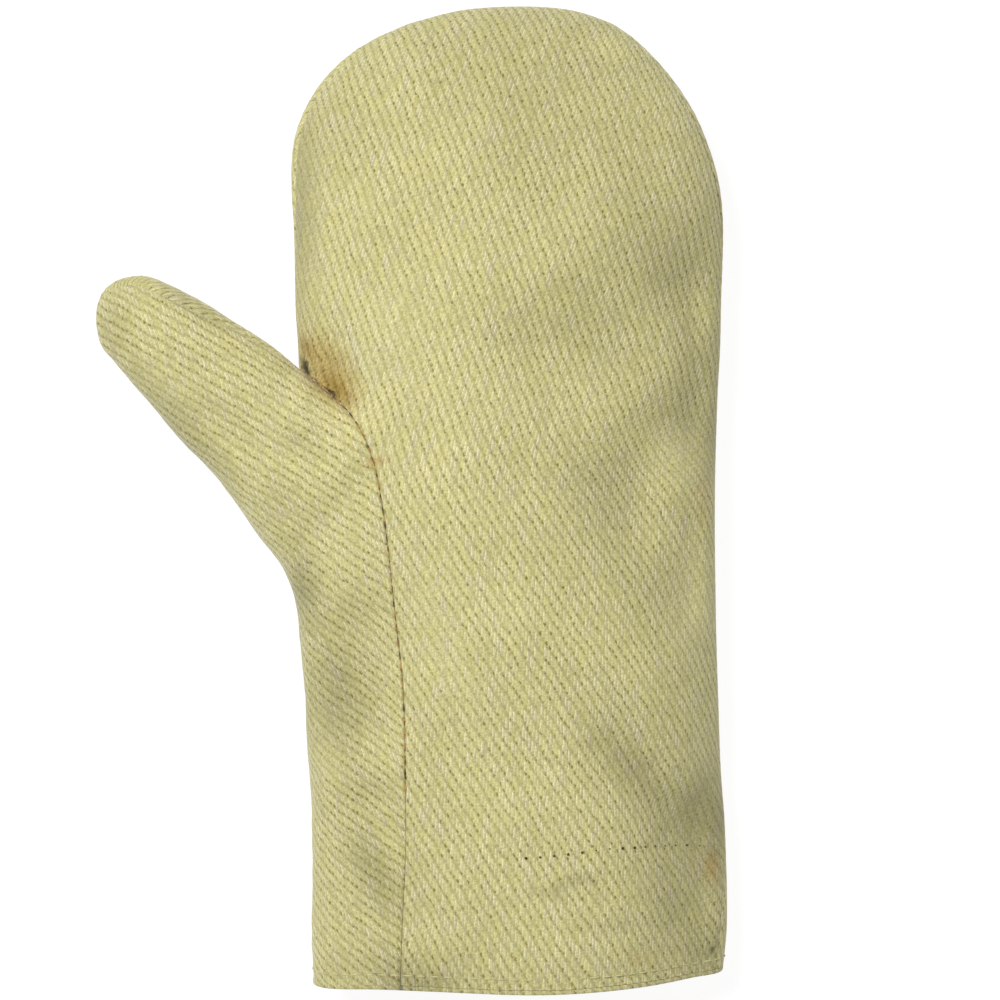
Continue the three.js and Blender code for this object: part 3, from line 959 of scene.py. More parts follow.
@dataclass(frozen=True)
class TwillFinish:
    """Heavy twill: warp floats over two wefts, stepped by one at each warp thread.

    Values that start with by_ say how much each pattern adds to the cloth's lightness.
    """

    name: str
    # Whether the cloth has its stains and its painted light and shade
    stained_and_shaded: bool = True
    light: Colour = linear(232, 224, 172)
    yellow: Colour = linear(228, 221, 150)
    grey: Colour = linear(226, 215, 180)
    # What painted shade leaves of the cloth's colour: in the valleys between ribs, then in the
    # recesses between threads
    valley_shade_colour: Colour = (0.64, 0.65, 0.44)
    recess_shade: Colour = (0.28, 0.22, 0.06)
    depth: float = 0.26
    roughness: float = 0.9
    sheen: float = 0.25
    wander_scale: float = 0.23
    warp_wander: float = 0.9
    weft_wander: float = 0.7
    fibre_stretch: Tuple[float, float, float] = (7.0, 0.7, 1.0)
    fluff_scale: float = 1500.0
    blotch_scale: float = 55.0
    torn_scale: float = 420.0
    torn_reach: float = 3.0
    grey_share: float = 0.4
    valley_shade_share: float = 0.3
    spot_height: float = 0.65
    spot_width: float = 0.85
    lightness: float = 0.525
    by_tone: float = 0.1
    by_fibre: float = 0.18
    by_fluff: float = 0.22
    by_glint: float = 0.34
    by_blotch: float = 0.1

    def relief(self, nodes: Nodes, threads: Value) -> Relief:
        """The weave's relief, worked out from the thread counts."""
        wander = nodes.noise(threads, self.wander_scale, 1.0)
        warp, weft, _ = nodes.split(threads)
        warp = warp + (wander - 0.5) * self.warp_wander
        weft = weft + (wander - 0.5) * self.weft_wander
        thread = warp.floor()
        stepped = weft + thread
        number = (stepped / 3.0).floor()
        within = stepped - number * 3.0
        crossing = within - 0.5 - within.math("GREATER_THAN", 2.0) * 3.0
        shift = (warp - thread) * 2.0 - 1.0
        rib = ((warp + weft) / 3.0 - 1.0 / 3.0) * FULL_TURN
        valley = rib.math("COSINE") * 0.5 + 0.5
        rounded = 1.0 - shift * shift * 0.4
        yarn = rounded * (crossing.abs().ramp(0.0, 0.9) * 0.75 + 0.25)
        return Relief(yarn, crossing, shift, valley, thread, number)

    def grain(self, nodes: Nodes, place: Value, threads: Value, weave: Relief) -> Grain:
        """The thread's own patterns."""
        stretched = nodes.add(
            "ShaderNodeVectorMath", {"operation": "MULTIPLY"},
            {0: threads, 1: self.fibre_stretch})
        return Grain(
            nodes.noise(stretched, 1.0, 2.0),
            nodes.noise(place, self.fluff_scale, 1.0).ramp(0.3, 0.7),
            nodes.random(weave.thread, weave.number, 1.0),
            nodes.random(weave.thread, weave.number, 2.0),
        )

    def calm(self, plan: Plan) -> Number:
        """How much less the weave stands out at each place."""
        calm: Number = 0.0
        for patch in CALM if self.stained_and_shaded else ():
            calm = patch.mask(plan).math("MAXIMUM", calm)
        return calm

    def stains_and_painted_shade(self, nodes: Nodes, place: Value, cloth: Value) -> Value:
        """The cloth's colour with its stains, its painted shade and its painted highlight, whose
        borders are uneven.
        """
        if not self.stained_and_shaded:
            return cloth
        reach, half = self.torn_reach * MM, self.torn_reach * MM / 2
        uneven = nodes.add(
            "ShaderNodeTexNoise", {},
            {"Vector": place, "Scale": self.torn_scale, "Detail": 2.0}, "Color")
        torn = nodes.add(
            "ShaderNodeVectorMath", {"operation": "MULTIPLY_ADD"},
            {0: uneven, 1: (reach, reach, 0.0), 2: place})
        torn = nodes.add(
            "ShaderNodeVectorMath", {"operation": "SUBTRACT"}, {0: torn, 1: (half, half, 0.0)})
        plan = Plan(nodes, torn)
        for patch, colour in STAINS_AND_PAINTED_SHADE:
            cloth = nodes.blend(patch.mask(plan), cloth, colour)
        return cloth

    def painted_light_and_shade(self, plan: Plan) -> Number:
        """Painted light and shade: how much lighter or darker the cloth's colour is at each place,
        around 1.
        """
        light: Number = 1.0
        for patch in PAINTED_LIGHT_AND_SHADE if self.stained_and_shaded else ():
            light = patch.mask(plan) + light
        return light

    def painted_recess_shade(self, weave: Relief, grain: Grain) -> Value:
        """Painted shade between the threads: where a float dips under a weft, and less of it along
        each float's right side, away from the lamp.
        """
        ragged = weave.crossing + (grain.fibre - 0.5) * 0.9 + (grain.hue - 0.5) * 0.5
        tall = ragged / self.spot_height
        wide = (weave.shift + ragged * 0.8 + (grain.fluff - 0.5) * 0.6) / self.spot_width
        spot = 1.0 - (tall * tall + wide * wide).sqrt().ramp(0.3, 1.0)
        spot = spot * (grain.tone.ramp(0.1, 1.0) * 0.62 + 0.16)
        line = weave.shift.ramp(0.55, 0.95) * (grain.hue.ramp(0.0, 1.0) * 0.25 + 0.1)
        return 1.0 - (1.0 - spot) * (1.0 - line)

    def shade(self, nodes: Nodes, place: Value, weave: Relief, grain: Grain,
              strength: Number) -> Value:
        """How light each place is, with a glint on the left shoulder of each float."""
        glint = 1.0 - (weave.shift + 0.6).abs().ramp(0.0, 0.4)
        shoulder = 1.0 - (weave.crossing.abs() - 0.95).abs().ramp(0.3, 0.6)
        glint = glint * shoulder * grain.hue * strength
        shade = self.lightness + grain.tone * self.by_tone + grain.fibre * self.by_fibre
        shade = shade + grain.fluff * self.by_fluff + glint * self.by_glint
        blotch = nodes.noise(place, self.blotch_scale, 2.0)
        return shade + (blotch - 0.5) * self.by_blotch

    def material(self) -> bpy.types.Material:
        """Builds the finish as a node material."""
        made = bpy.data.materials.new(self.name)
        nodes = Nodes(made)
        place = nodes.add("ShaderNodeTexCoord", output="Object")
        threads = nodes.add(
            "ShaderNodeAttribute", {"attribute_name": THREADS}, output="Vector")
        weave = self.relief(nodes, threads)
        grain = self.grain(nodes, place, threads, weave)
        plan = Plan(nodes, place)
        plain = 1.0 - self.calm(plan)
        strength = plain * 0.75 + 0.25
        cloth = nodes.blend(grain.hue, self.yellow, self.light)
        faded = (grain.hue - 0.5).abs().ramp(0.38, 0.5) * self.grey_share
        cloth = nodes.blend(faded, cloth, self.grey)
        cloth = self.stains_and_painted_shade(nodes, place, cloth)
        # Painted shade in the valleys between the ribs
        hollow = weave.valley.ramp(0.2, 0.95) * self.valley_shade_share * strength
        cloth = nodes.blend(hollow, cloth, self.valley_shade_colour, "MULTIPLY")
        # Painted recess shade at each crossing and along each float's right side
        recess_shade = self.painted_recess_shade(weave, grain) * strength
        cloth = nodes.blend(recess_shade, cloth, self.recess_shade, "MULTIPLY")
        # The weave's own lightness, times the front's painted light and shade
        shade = self.shade(nodes, place, weave, grain, strength) * self.painted_light_and_shade(plan)
        cloth = nodes.blend(1.0, cloth, nodes.combine(shade, shade, shade), "MULTIPLY")
        woven = (weave.height * 0.5 - weave.valley * 0.2) * (plain * 0.7 + 0.3)
        relief = woven + grain.fibre * 0.25 + grain.fluff * 0.12
        bump = nodes.add(
            "ShaderNodeBump", {}, {"Strength": 1.0, "Distance": self.depth * MM, "Height": relief})
        shader = nodes.add("ShaderNodeBsdfPrincipled", {}, {
            "Base Color": cloth, "Roughness": self.roughness, "Normal": bump,
            "Sheen Weight": self.sheen, "Sheen Roughness": 0.5, "Specular IOR Level": 0.2})
        nodes.surface(shader)
        return made


@dataclass(frozen=True)
class ThreadFinish:
    """Sewing thread, with a slight change of tone along it."""

    name: str
    light: Colour
    dark: Colour
    roughness: float = 0.7
    tone_scale: float = 420.0
    twist_scale: float = 2600.0
    twist_depth: float = 0.05

    def material(self) -> bpy.types.Material:
        """Builds the finish as a node material."""
        made = bpy.data.materials.new(self.name)
        nodes = Nodes(made)
        place = nodes.add("ShaderNodeTexCoord", output="Object")
        tone = nodes.noise(place, self.tone_scale, 2.0)
        colour = nodes.blend(tone.ramp(0.35, 0.65), self.dark, self.light)
        twist = nodes.noise(place, self.twist_scale, 1.0)
        bump = nodes.add(
            "ShaderNodeBump", {}, {"Distance": self.twist_depth * MM, "Height": twist})
        shader = nodes.add("ShaderNodeBsdfPrincipled", {}, {
            "Base Color": colour, "Roughness": self.roughness, "Normal": bump,
            "Sheen Weight": 0.2})
        nodes.surface(shader)
        return made


def finished(piece: bpy.types.Object, material: bpy.types.Material, slot: Slot,
             *nodes: str) -> bpy.types.Object:
    """Gives a piece its material and its body, and hides the nodes that it stands for."""
    piece.data.materials.clear()
    piece.data.materials.append(material)
    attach(piece, ROOT)
    if nodes:
        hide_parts(*nodes)
    log.info("%s: %d faces", piece.name, len(piece.data.polygons))
    return piece


def surface_length(first_x: float, last_x: float) -> Callable[[Array, Array], Array]:
    """Real length along Y of the body's front, from y 0 to each place.

    Args:
        first_x: Lowest x of the heights that are measured.
        last_x: Highest x.

    Returns:
        A function of x and y.
    """
    xs = np.linspace(first_x, last_x, 60)
    ys = np.linspace(HEM_Y, TIP_Y, 700)
    grid_x, grid_y = np.meshgrid(xs, ys)
    section = Section.at(grid_y)
    height = front_height(section.across(grid_x), grid_y)
    step = np.hypot(np.diff(ys)[:, None], np.diff(height, axis=0))
    length = np.concatenate([np.zeros((1, len(xs))), np.cumsum(step, axis=0)])
    zero = int(np.searchsorted(ys, 0))
    length -= length[zero]

    def at(x: Array, y: Array) -> Array:
        """Length at each place, between the four nearest measured ones."""
        column = np.clip((x - xs[0]) / (xs[1] - xs[0]), 0, len(xs) - 1.001)
        row = np.clip((y - ys[0]) / (ys[1] - ys[0]), 0, len(ys) - 1.001)
        c, r = column.astype(int), row.astype(int)
        u, v = column - c, row - r
        low = mix(length[r, c], length[r, c + 1], u)
        high = mix(length[r + 1, c], length[r + 1, c + 1], u)
        return mix(low, high, v)

    return at


@dataclass
class BodyPanels:
    """The palm and the back, sewn together round the finger end and down the outer side."""

    palm_columns: int = 118
    back_columns: int = 66
    straight_rows: int = 176
    cap_rows: int = 66
    roll: SeamRoll = SeamRoll()
    outline_roll: float = 0.25
    clear: float = 0.1
    palm_width: float = 150.0
    back_width: float = 170.0
    back_rows_share: float = 0.7
    crotch_reach: float = 14.0

    def rows(self, share: float = 1.0) -> Array:
        """Places of the panels' rows from the cuff to the finger end."""
        straight = np.linspace(HEM_Y + LIP + SEAM_GAP, CAP_START, round(self.straight_rows * share))
        turn = np.linspace(0, math.pi / 2, round(self.cap_rows * share) + 1)[1:]
        return np.concatenate([straight, mix(CAP_START, TIP_Y, np.sin(turn))])

    def ends(self, y: Array) -> Tuple[Array, Array]:
        """Angles of the seams at the thumb side and at the other side."""
        on_thumb = y < CROTCH_Y
        across = Section.at(y).across(seam_line(y))
        left = np.where(on_thumb, np.arccos(-across), SIDE_SEAM.at("left", y))
        return left, math.pi - SIDE_SEAM.at("right", y)

    def tip_length(self, y: Array) -> Array:
        """Length of the skin from each row to the finger end."""
        dense = np.linspace(CAP_START - 20, TIP_Y, 900)
        height = front_height(np.zeros_like(dense), dense, folds=False)
        length = np.concatenate([[0], np.cumsum(np.hypot(np.diff(dense), np.diff(height)))])
        return length[-1] - np.interp(y, dense, length) + 1000 * (y < dense[0])

    def roll_share(self, y: Array) -> Tuple[Array, Array]:
        """How deep the seams at the thumb side and at the other side are rolled.

        A seam that lies on the outline itself is rolled less.
        """
        left = np.maximum(smooth(SIDE_SEAM.at("left", y), 0, self.clear), y < CROTCH_Y)
        right = smooth(SIDE_SEAM.at("right", y), 0, self.clear) * smooth(y, -60, 60)
        return mix(self.outline_roll, 1, left), mix(self.outline_roll, 1, right)

    def relief(self, away: Array, whole: Array, y: Array, x: Array) -> Array:
        """Rolls, puckers and unevenness, as a height along the skin's own direction."""
        edge = np.minimum(away, whole[:, None] - away)
        edge = np.minimum(edge, self.tip_length(y)[:, None])
        uneven = (SLACK.at(x, y[:, None]) + CRUMPLE.at(x, y[:, None])) * smooth(edge, 0, 14)
        left, right = self.roll_share(y)
        share = np.where(away < whole[:, None] / 2, left[:, None], right[:, None])
        return self.roll.at(edge, y[:, None] + 0 * edge) * share + uneven

    def palm(self) -> bpy.types.Object:
        """Builds the palm's sheet with its wall."""
        y = self.rows()
        left, right = self.ends(y)
        shares = edge_steps(self.palm_columns, self.palm_width)
        angle, away, whole = spread(ring_point, left, right, y, shares, SEAM_GAP / 2)
        points = ring_point(angle, y[:, None])
        normal = normals_of(points)
        normal[-1] = (0, 1, 0)
        height = self.relief(away, whole, y, points[..., 0])
        below = smooth(-y, -CROTCH_Y - self.crotch_reach, -CROTCH_Y)
        skin = raised(points, normal, height, away, below)
        middle = np.array([np.interp(PALM_MIDDLE_X, p, s) for p, s in zip(points[..., 0], away)])
        across = away - middle[:, None] + PALM_MIDDLE_X
        along = surface_length(-40, 105)(points[..., 0], y[:, None] + 0 * across)
        threads = PALM_WEAVE.count(across, along)
        faces = grid_faces(len(y), len(shares))
        return thickened(mesh_from_grid("palm_cloth_panel", settle(skin), threads, faces))

    def back(self) -> bpy.types.Object:
        """Builds the back's sheet, which comes round the outline to the palm's edges."""
        y = self.rows(self.back_rows_share)
        left, right = self.ends(y)
        shares = edge_steps(self.back_columns, self.back_width)
        end = np.where(y < CROTCH_Y, FULL_TURN - left, FULL_TURN + left)
        angle, away, whole = spread(ring_point, right, end, y, shares, SEAM_GAP / 2)
        points = ring_point(angle, y[:, None])
        normal = normals_of(points)
        normal[-1] = (0, 1, 0)
        edge = np.minimum(away, whole[:, None] - away)
        edge = np.minimum(edge, self.tip_length(y)[:, None])
        resting = smooth(points[..., 2], 0.5, 4)
        left, right = self.roll_share(y)
        share = np.where(away < whole[:, None] / 2, right[:, None], left[:, None])
        rolled = self.roll.at(edge, y[:, None] + 0 * edge) * share * resting
        skin = points + normal * rolled[..., None]
        skin[..., 2] = np.maximum(skin[..., 2], 0)
        threads = BACK_WEAVE.count(away - self.back_width / 2, y[:, None] + 0 * away)
        faces = grid_faces(len(y), len(shares))
        return thickened(mesh_from_grid("back_cloth_panel", settle(skin), threads, faces))

    def build(self, cloth: bpy.types.Material, back_cloth: bpy.types.Material) -> None:
        palm = finished(self.palm(), cloth, Slot.PALM, "palm_panel")
        back = finished(self.back(), back_cloth, Slot.BACK, "back_panel")


@dataclass
class ThumbPanel:
    """The thumb, folded round its outer edge, with the strip below it down to the cuff."""

    columns: int = 84
    row_step: float = 1.6
    usual_width: float = 90.0
    roll: SeamRoll = SeamRoll(depth=0.8, pucker=0.14)
    tip_roll: SeamRoll = SeamRoll(depth=1.0, width=2.4, pucker=0.3, pucker_reach=3.0, pitch=3.4)

    def rungs(self) -> Array:
        """Places of the rows, evenly along the panel."""
        dense = np.linspace(0, LAST_RUNG, 2000)
        lines = [np.stack([THUMB.at(s + "X", dense), THUMB.at(s + "Y", dense)], -1)
                 for s in ("top", "out")]
        steps = sum(np.linalg.norm(np.diff(line, axis=0), axis=-1) for line in lines) / 2
        length = np.concatenate([[0], np.cumsum(steps)])
        count = int(length[-1] / self.row_step)
        return np.interp(np.linspace(0, length[-1], count), length, dense)

    def threads(self, points: Array, around: Array, away: Array, rung: Array) -> Array:
        """Counts the threads as if the front lay flat, measured from its middle line.

        Args:
            points: The panel's skin.
            around: Each point's parameter round the thumb.
            away: Each point's length from the inner edge.
            rung: The rows' places.

        Returns:
            Warp and weft number of each point.
        """
        top_x, top_y = THUMB.at("topX", rung), THUMB.at("topY", rung)
        out_x, out_y = THUMB.at("outX", rung), THUMB.at("outY", rung)
        width = np.maximum(np.hypot(out_x - top_x, out_y - top_y), 1e-6)
        rows, middle = np.arange(len(rung)), np.argmin(np.abs(around - 0.5), axis=1)
        plan = np.hypot(points[rows, middle, 0] - top_x, points[rows, middle, 1] - top_y)
        flat = away - (away[rows, middle] - plan)[:, None]
        flat_x = top_x[:, None] + flat * ((out_x - top_x) / width)[:, None]
        flat_y = top_y[:, None] + flat * ((out_y - top_y) / width)[:, None]
        return THUMB_WEAVE.count(flat_x, flat_y)

    def build(self, cloth: bpy.types.Material) -> None:
        rung = self.rungs()
        lap = np.maximum(THUMB.at("lap", rung), 0)
        shares = edge_steps(self.columns, self.usual_width)
        around, away, whole = spread(thumb_point, 1 - lap, -(1 + lap), rung, shares, 0.0)
        points = thumb_point(around, rung[:, None])
        normal = normals_of(points)
        normal[0] = (-1, 0.35, 0)
        normal[0] /= np.linalg.norm(normal[0, 0])
        edge = np.minimum(away, whole[:, None] - away)
        tip = np.minimum(rung, 1)[:, None]
        top_x, top_y = THUMB.at("topX", rung), THUMB.at("topY", rung)
        seam_length = np.concatenate([[0], np.cumsum(np.hypot(np.diff(top_x), np.diff(top_y)))])
        x, y, z = np.moveaxis(points, -1, 0)
        above = smooth(z, 0.5, 4)
        uneven = (SLACK.at(x, y) + CRUMPLE.at(x, y)) * smooth(edge, 0, 10)
        along = seam_length[:, None] + 0 * edge
        below = smooth(rung, CROTCH - 2, CROTCH)[:, None]
        rolled = mix(self.tip_roll.at(edge, along), self.roll.at(edge, along), below)
        height = (rolled + uneven) * tip * above
        skin = raised(points, normal, height, away, smooth(rung, CROTCH - 1, CROTCH))
        skin[..., 2] = np.maximum(skin[..., 2], 0)
        threads = self.threads(points, around, away, rung)
        faces = grid_faces(len(rung), len(shares))
        piece = mesh_from_grid("thumb_cloth_panel", settle(skin), threads, faces)
        finished(thickened(piece), cloth, Slot.THUMB, "thumb_panel")


@dataclass
class CuffHem:
    """The cuff's folded lip and the band of cloth turned in behind it."""

    columns: int = 300
    band_rows: int = 24

    def profile(self) -> Array:
        """Depth in from the skin and place along Y of the ring's rows, outside first."""
        band_out = WALL + BAND_GAP
        band_in = band_out + BAND_WALL
        turn = np.linspace(0, math.pi / 2, 5)
        lip = [(0, HEM_Y + LIP), (0, HEM_Y + (LIP + LIP_ROUND) / 2)]
        lip += [(LIP_ROUND * (1 - math.cos(t)), HEM_Y + LIP_ROUND * (1 - math.sin(t)))
                for t in turn]
        inner = [(band_in - LIP_ROUND * (1 - math.sin(t)), HEM_Y + LIP_ROUND * (1 - math.cos(t)))
                 for t in turn]
        y = np.linspace(HEM_Y + LIP, BAND_TOP, self.band_rows)
        band = [(band_in, place) for place in y] + [(band_out, place) for place in y[::-1]]
        return np.array(lip + inner + band)

    def build(self, cloth: bpy.types.Material) -> None:
        profile = self.profile()
        angle = np.linspace(0, FULL_TURN, self.columns, endpoint=False)
        depth, y = profile[:, :1], profile[:, 1:]
        points = ring_point(angle[None, :], y)
        ahead = ring_point(angle[None, :] + 1e-3, y) - ring_point(angle[None, :] - 1e-3, y)
        normal = np.stack([-ahead[..., 2], 0 * ahead[..., 0], ahead[..., 0]], -1)
        normal /= np.linalg.norm(normal, axis=-1, keepdims=True)
        skin = points - normal * depth[..., None]
        length = arc_lengths(np.concatenate([points, points[:, :1]], 1))[:, :-1]
        x = points[..., 0]
        half = self.columns // 2
        front = list(zip(x[:, :half], length[:, :half]))
        middle = np.array([np.interp(PALM_MIDDLE_X, p, s) for p, s in front])
        across = length - middle[:, None] + PALM_MIDDLE_X
        palm = PALM_WEAVE.count(across, y + 0 * across)
        seam = seam_line(np.array([HEM_Y]))[0]
        at_seam = np.array([np.interp(seam, p, s) for p, s in front])
        thumb = THUMB_WEAVE.count(seam + length - at_seam[:, None], y + 0 * across)
        threads = np.where((x < seam)[..., None] & (angle < math.pi)[None, :, None], thumb, palm)
        faces = grid_faces(len(profile), self.columns, wrap_rows=True, wrap_columns=True)
        piece = mesh_from_grid("cuff_hem_fold", settle(skin), threads, faces)
        finished(applied(piece), cloth, Slot.HEM, "cuff_hem")


class GeometryTree:
    """A Geometry Nodes tree with named inputs."""

    def __init__(self, name: str) -> None:
        """Starts the tree with one geometry going in and one coming out."""
        self.tree = bpy.data.node_groups.new(name, "GeometryNodeTree")
        self.tree.interface.new_socket(
            "Path", in_out="INPUT", socket_type="NodeSocketGeometry")
        self.tree.interface.new_socket(
            "Stitches", in_out="OUTPUT", socket_type="NodeSocketGeometry")
        self.names = {}
        self.start = self.tree.nodes.new("NodeGroupInput")

    def number(self, name: str, kind: str = "NodeSocketFloat") -> bpy.types.NodeSocket:
        """Adds a named input and gives the socket that it comes from."""
        socket = self.tree.interface.new_socket(name, in_out="INPUT", socket_type=kind)
        self.names[name] = socket.identifier
        return self.start.outputs[name]

    def add(self, kind: str, settings: dict, inputs: dict) -> bpy.types.Node:
        """Adds one node.

        Args:
            kind: The node's type.
            settings: Its properties, which are set first.
            inputs: Values or sockets for its inputs, by name or place.

        Returns:
            The node.
        """
        node = self.tree.nodes.new(kind)
        for name, value in settings.items():
            setattr(node, name, value)
        for name, value in inputs.items():
            if isinstance(value, bpy.types.NodeSocket):
                self.tree.links.new(value, node.inputs[name])
            else:
                node.inputs[name].default_value = value
        return node

    def finish(self, geometry: bpy.types.NodeSocket) -> None:
        """Links the tree's result."""
        end = self.tree.nodes.new("NodeGroupOutput")
        self.tree.links.new(geometry, end.inputs[0])


@dataclass
class StitchRow:
    """Stitches along a path, each a closed grain of thread."""

    name: str
    pitch: float
    length: float
    thickness: float
    jitter: float = 0.12
    seed: int = 3
    sides: int = 8
    rings: int = 6

    def tree(self, material: bpy.types.Material) -> GeometryTree:
        """The nodes that lay one stitch at each step of the path."""
        made = GeometryTree(self.name)
        pitch, length = made.number("Pitch"), made.number("Length")
        thickness, jitter = made.number("Thickness"), made.number("Jitter")
        seed = made.number("Seed", "NodeSocketInt")
        curve = made.add("GeometryNodeMeshToCurve", {}, {0: made.start.outputs["Path"]})
        steps = made.add(
            "GeometryNodeResampleCurve", {"mode": "LENGTH"},
            {"Curve": curve.outputs[0], "Length": pitch})
        tangent = made.add("GeometryNodeInputTangent", {}, {})
        turn = made.add(
            "FunctionNodeAlignRotationToVector", {"axis": "X"}, {"Vector": tangent.outputs[0]})
        grain = made.add(
            "GeometryNodeMeshUVSphere", {},
            {"Segments": self.sides, "Rings": self.rings, "Radius": 0.5})
        size = made.add(
            "ShaderNodeCombineXYZ", {}, {0: length, 1: thickness, 2: thickness})
        shaped = made.add(
            "GeometryNodeTransform", {},
            {"Geometry": grain.outputs["Mesh"], "Scale": size.outputs[0]})
        least = made.add("ShaderNodeMath", {"operation": "SUBTRACT"}, {0: 1.0, 1: jitter})
        most = made.add("ShaderNodeMath", {"operation": "ADD"}, {0: 1.0, 1: jitter})
        scale = made.add(
            "FunctionNodeRandomValue", {"data_type": "FLOAT"},
            {2: least.outputs[0], 3: most.outputs[0], "Seed": seed})
        placed = made.add("GeometryNodeInstanceOnPoints", {}, {
            "Points": steps.outputs[0], "Instance": shaped.outputs[0],
            "Rotation": turn.outputs[0], "Scale": scale.outputs[1]})
        real = made.add("GeometryNodeRealizeInstances", {}, {0: placed.outputs[0]})
        dressed = made.add(
            "GeometryNodeSetMaterial", {}, {"Geometry": real.outputs[0], "Material": material})
        made.finish(dressed.outputs[0])
        return made

    def build(self, path: Array, material: bpy.types.Material, slot: Slot) -> bpy.types.Object:
        """Lays the row.

        Args:
            path: Points in millimetres.
            material: The thread's finish.
            slot: The cloth that the row is sewn in; not used.

        Returns:
            The row as one plain mesh.
        """
        mesh = bpy.data.meshes.new(self.name)
        edges = [(i, i + 1) for i in range(len(path) - 1)]
        mesh.from_pydata((path * MM).tolist(), edges, [])
        piece = bpy.data.objects.new(self.name, mesh)
        bpy.context.scene.collection.objects.link(piece)
        made = self.tree(material)
        rule = piece.modifiers.new("stitches", "NODES")
        rule.node_group = made.tree
        values = {
            "Pitch": self.pitch * MM, "Length": self.length * MM,
            "Thickness": self.thickness * MM, "Jitter": self.jitter, "Seed": self.seed}
        for name, value in values.items():
            rule[made.names[name]] = value
        return finished(applied(piece), material, slot)


def on_front(x: Array, y: Array, lift: float) -> Array:
    """Points on the body's front, with its unevenness, lifted by some millimetres."""
    x, y = np.broadcast_arrays(np.asarray(x, float), np.asarray(y, float))
    across = Section.at(y).across(x)
    height = front_height(across, y) + SLACK.at(x, y) + CRUMPLE.at(x, y)
    return settle(np.stack([x, y, height + lift], -1))


# The needle holes over the cuff's band, by pixels of the photograph
HOLES_X = (526, 545, 575, 605, 650, 704)
HOLES_Y = (857, 856, 853, 849, 849.5, 853)


@dataclass
class Sewing:
    """Stitches down the palm's seam and round the cuff, and painted shade in the band's needle
    holes.
    """

    seam_row: StitchRow
    hem_row: StitchRow
    band_row: StitchRow
    hem_height: float = 5.0
    seam_start: float = CROTCH_Y - 1.5
    seam_end: float = -94.0
    seam_sunk: float = 0.6
    holes_sunk: float = 0.02

    def build(self, gold: bpy.types.Material, pale: bpy.types.Material,
              dark: bpy.types.Material) -> None:
        """Lays every row."""
        y = np.linspace(self.seam_start, self.seam_end, 300)
        self.seam_row.build(on_front(seam_line(y), y, -self.seam_sunk), gold, Slot.PALM)
        angle = np.linspace(0, FULL_TURN, 500)
        ring = ring_point(angle, np.full_like(angle, HEM_Y + self.hem_height))
        self.hem_row.build(settle(ring), pale, Slot.HEM)
        # Dark grains of painted shade where the needle holes over the cuff's band are
        pixel_x = np.linspace(HOLES_X[0], HOLES_X[-1], 60)
        x, y = from_photo(pixel_x, np.interp(pixel_x, HOLES_X, HOLES_Y))
        self.band_row.build(on_front(x, y, -self.holes_sunk), dark, Slot.PALM)


@dataclass(frozen=True)
class Lamp:
    """A square lamp that faces the mitten, in metres and watts."""

    name: str
    place: Tuple[float, float, float]
    size: float
    power: float

    def build(self) -> None:
        """Adds the lamp to the scene."""
        data = bpy.data.lights.new(self.name, "AREA")
        data.size = self.size
        data.energy = self.power
        lamp = bpy.data.objects.new(self.name, data)
        lamp.location = self.place
        x, y, z = self.place
        lamp.rotation_euler = (
            math.atan2(math.hypot(x, y), z), 0, math.atan2(-y, -x) - math.pi / 2)
        bpy.context.scene.collection.objects.link(lamp)


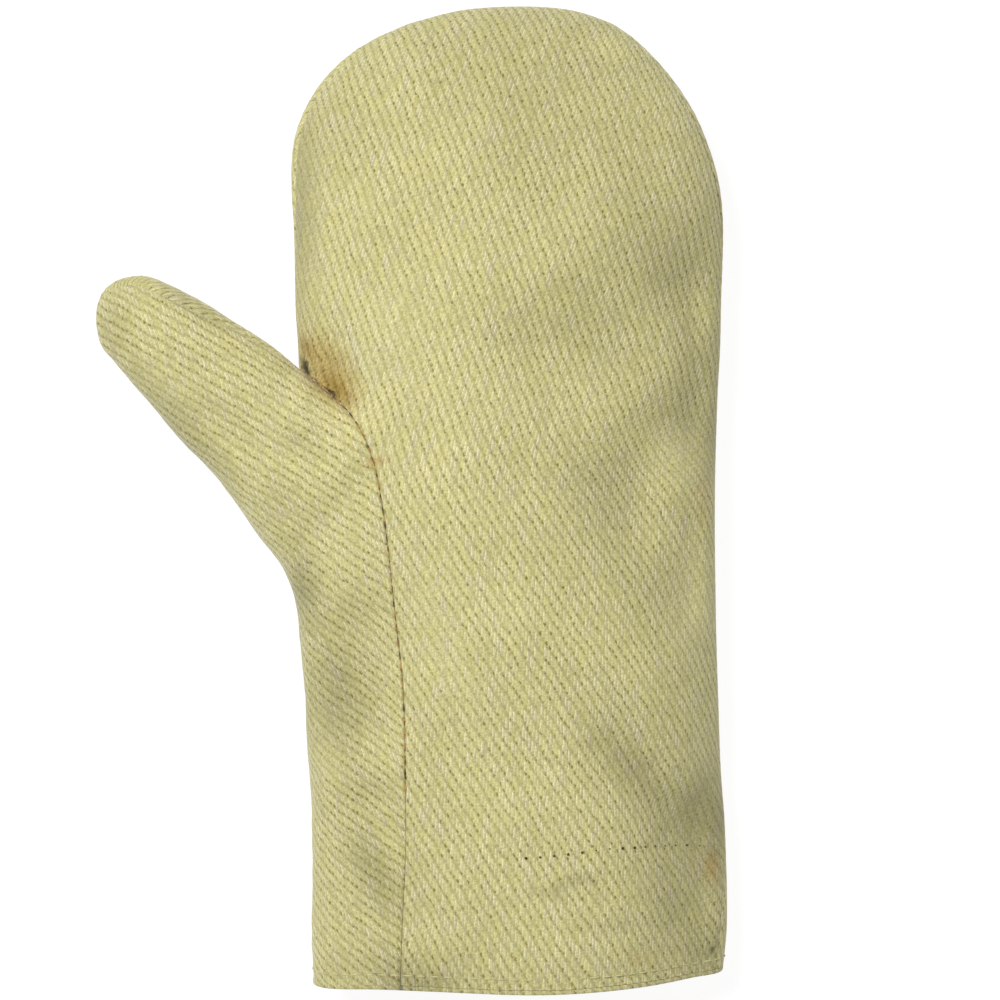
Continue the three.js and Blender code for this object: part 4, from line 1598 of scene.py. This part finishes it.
@dataclass
class Studio:
    """Pale floor, soft light from the upper left and the camera straight above."""

    sensor: float = 36.0
    room_light: float = 0.34
    floor_glow: float = 0.9
    floor_white: float = 0.16
    floor_half: float = 3.0
    floor_height: float = -0.0002
    key: Lamp = Lamp("key_lamp", (-0.56, 0.56, 1.4), 0.45, 19)
    fill: Lamp = Lamp("fill_lamp", (0.9, -0.6, 1.4), 1.2, 1.5)

    def camera(self) -> None:
        """Places the camera at the photograph's viewing angle."""
        data = bpy.data.cameras.new("camera")
        data.sensor_width = self.sensor
        width = PHOTO_PIXELS * MM_PER_PIXEL * MM
        data.lens = self.sensor * (EYE_HEIGHT - FOCUS_HEIGHT) * MM / width
        eye = bpy.data.objects.new("camera", data)
        x, y = from_photo(PHOTO_MIDDLE, PHOTO_MIDDLE)
        eye.location = ((float(x) + MIDDLE_X) * MM, (float(y) + MIDDLE_Y) * MM, EYE_HEIGHT * MM)
        bpy.context.scene.collection.objects.link(eye)
        bpy.context.scene.camera = eye

    def build(self) -> None:
        """Makes the camera, the lamps, the bright room and the floor."""
        self.camera()
        bpy.context.scene.view_settings.view_transform = "Standard"
        self.key.build()
        self.fill.build()
        world = bpy.data.worlds.new("room")
        world.use_nodes = True
        sky = world.node_tree.nodes["Background"]
        sky.inputs[0].default_value = (1, 1, 1, 1)
        sky.inputs[1].default_value = self.room_light
        bpy.context.scene.world = world
        mesh = bpy.data.meshes.new("floor")
        half, low = self.floor_half, self.floor_height
        corners = [(-half, -half, low), (half, -half, low), (half, half, low), (-half, half, low)]
        mesh.from_pydata(corners, [], [(0, 1, 2, 3)])
        floor = bpy.data.objects.new("floor", mesh)
        paint = bpy.data.materials.new("pale_floor")
        nodes = Nodes(paint)
        shader = nodes.add("ShaderNodeBsdfPrincipled", {}, {
            "Base Color": (self.floor_white, self.floor_white, self.floor_white, 1),
            "Emission Color": (1, 1, 1, 1), "Emission Strength": self.floor_glow,
            "Roughness": 0.8, "Specular IOR Level": 0.2})
        nodes.surface(shader)
        mesh.materials.append(paint)
        bpy.context.scene.collection.objects.link(floor)


def main() -> None:
    """Builds the mitten and its studio."""
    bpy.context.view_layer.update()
    Studio().build()
    palm_cloth = TwillFinish("palm_twill").material()
    thumb_cloth = TwillFinish("thumb_twill").material()
    back_cloth = TwillFinish("back_twill", stained_and_shaded=False).material()
    hem_cloth = TwillFinish("hem_twill").material()
    BodyPanels().build(palm_cloth, back_cloth)
    ThumbPanel().build(thumb_cloth)
    CuffHem().build(hem_cloth)
    gold = ThreadFinish("gold_thread", linear(190, 150, 72), linear(66, 48, 22)).material()
    pale = ThreadFinish("pale_thread", linear(212, 204, 152), linear(190, 180, 122)).material()
    # Painted shade for the insides of the needle holes
    dark = ThreadFinish("needle_hole_shade", linear(96, 84, 40), linear(52, 44, 22)).material()
    Sewing(
        StitchRow("palm_seam_stitches", pitch=4.3, length=3.4, thickness=0.62),
        StitchRow("hem_stitches", pitch=4.4, length=3.2, thickness=0.6),
        StitchRow("band_needle_hole_shade", pitch=4.4, length=0.8, thickness=0.75, jitter=0.45),
    ).build(gold, pale, dark)


if __name__ == "__main__":
    logging.basicConfig(level=logging.INFO, format="%(name)s: %(message)s")
    main()
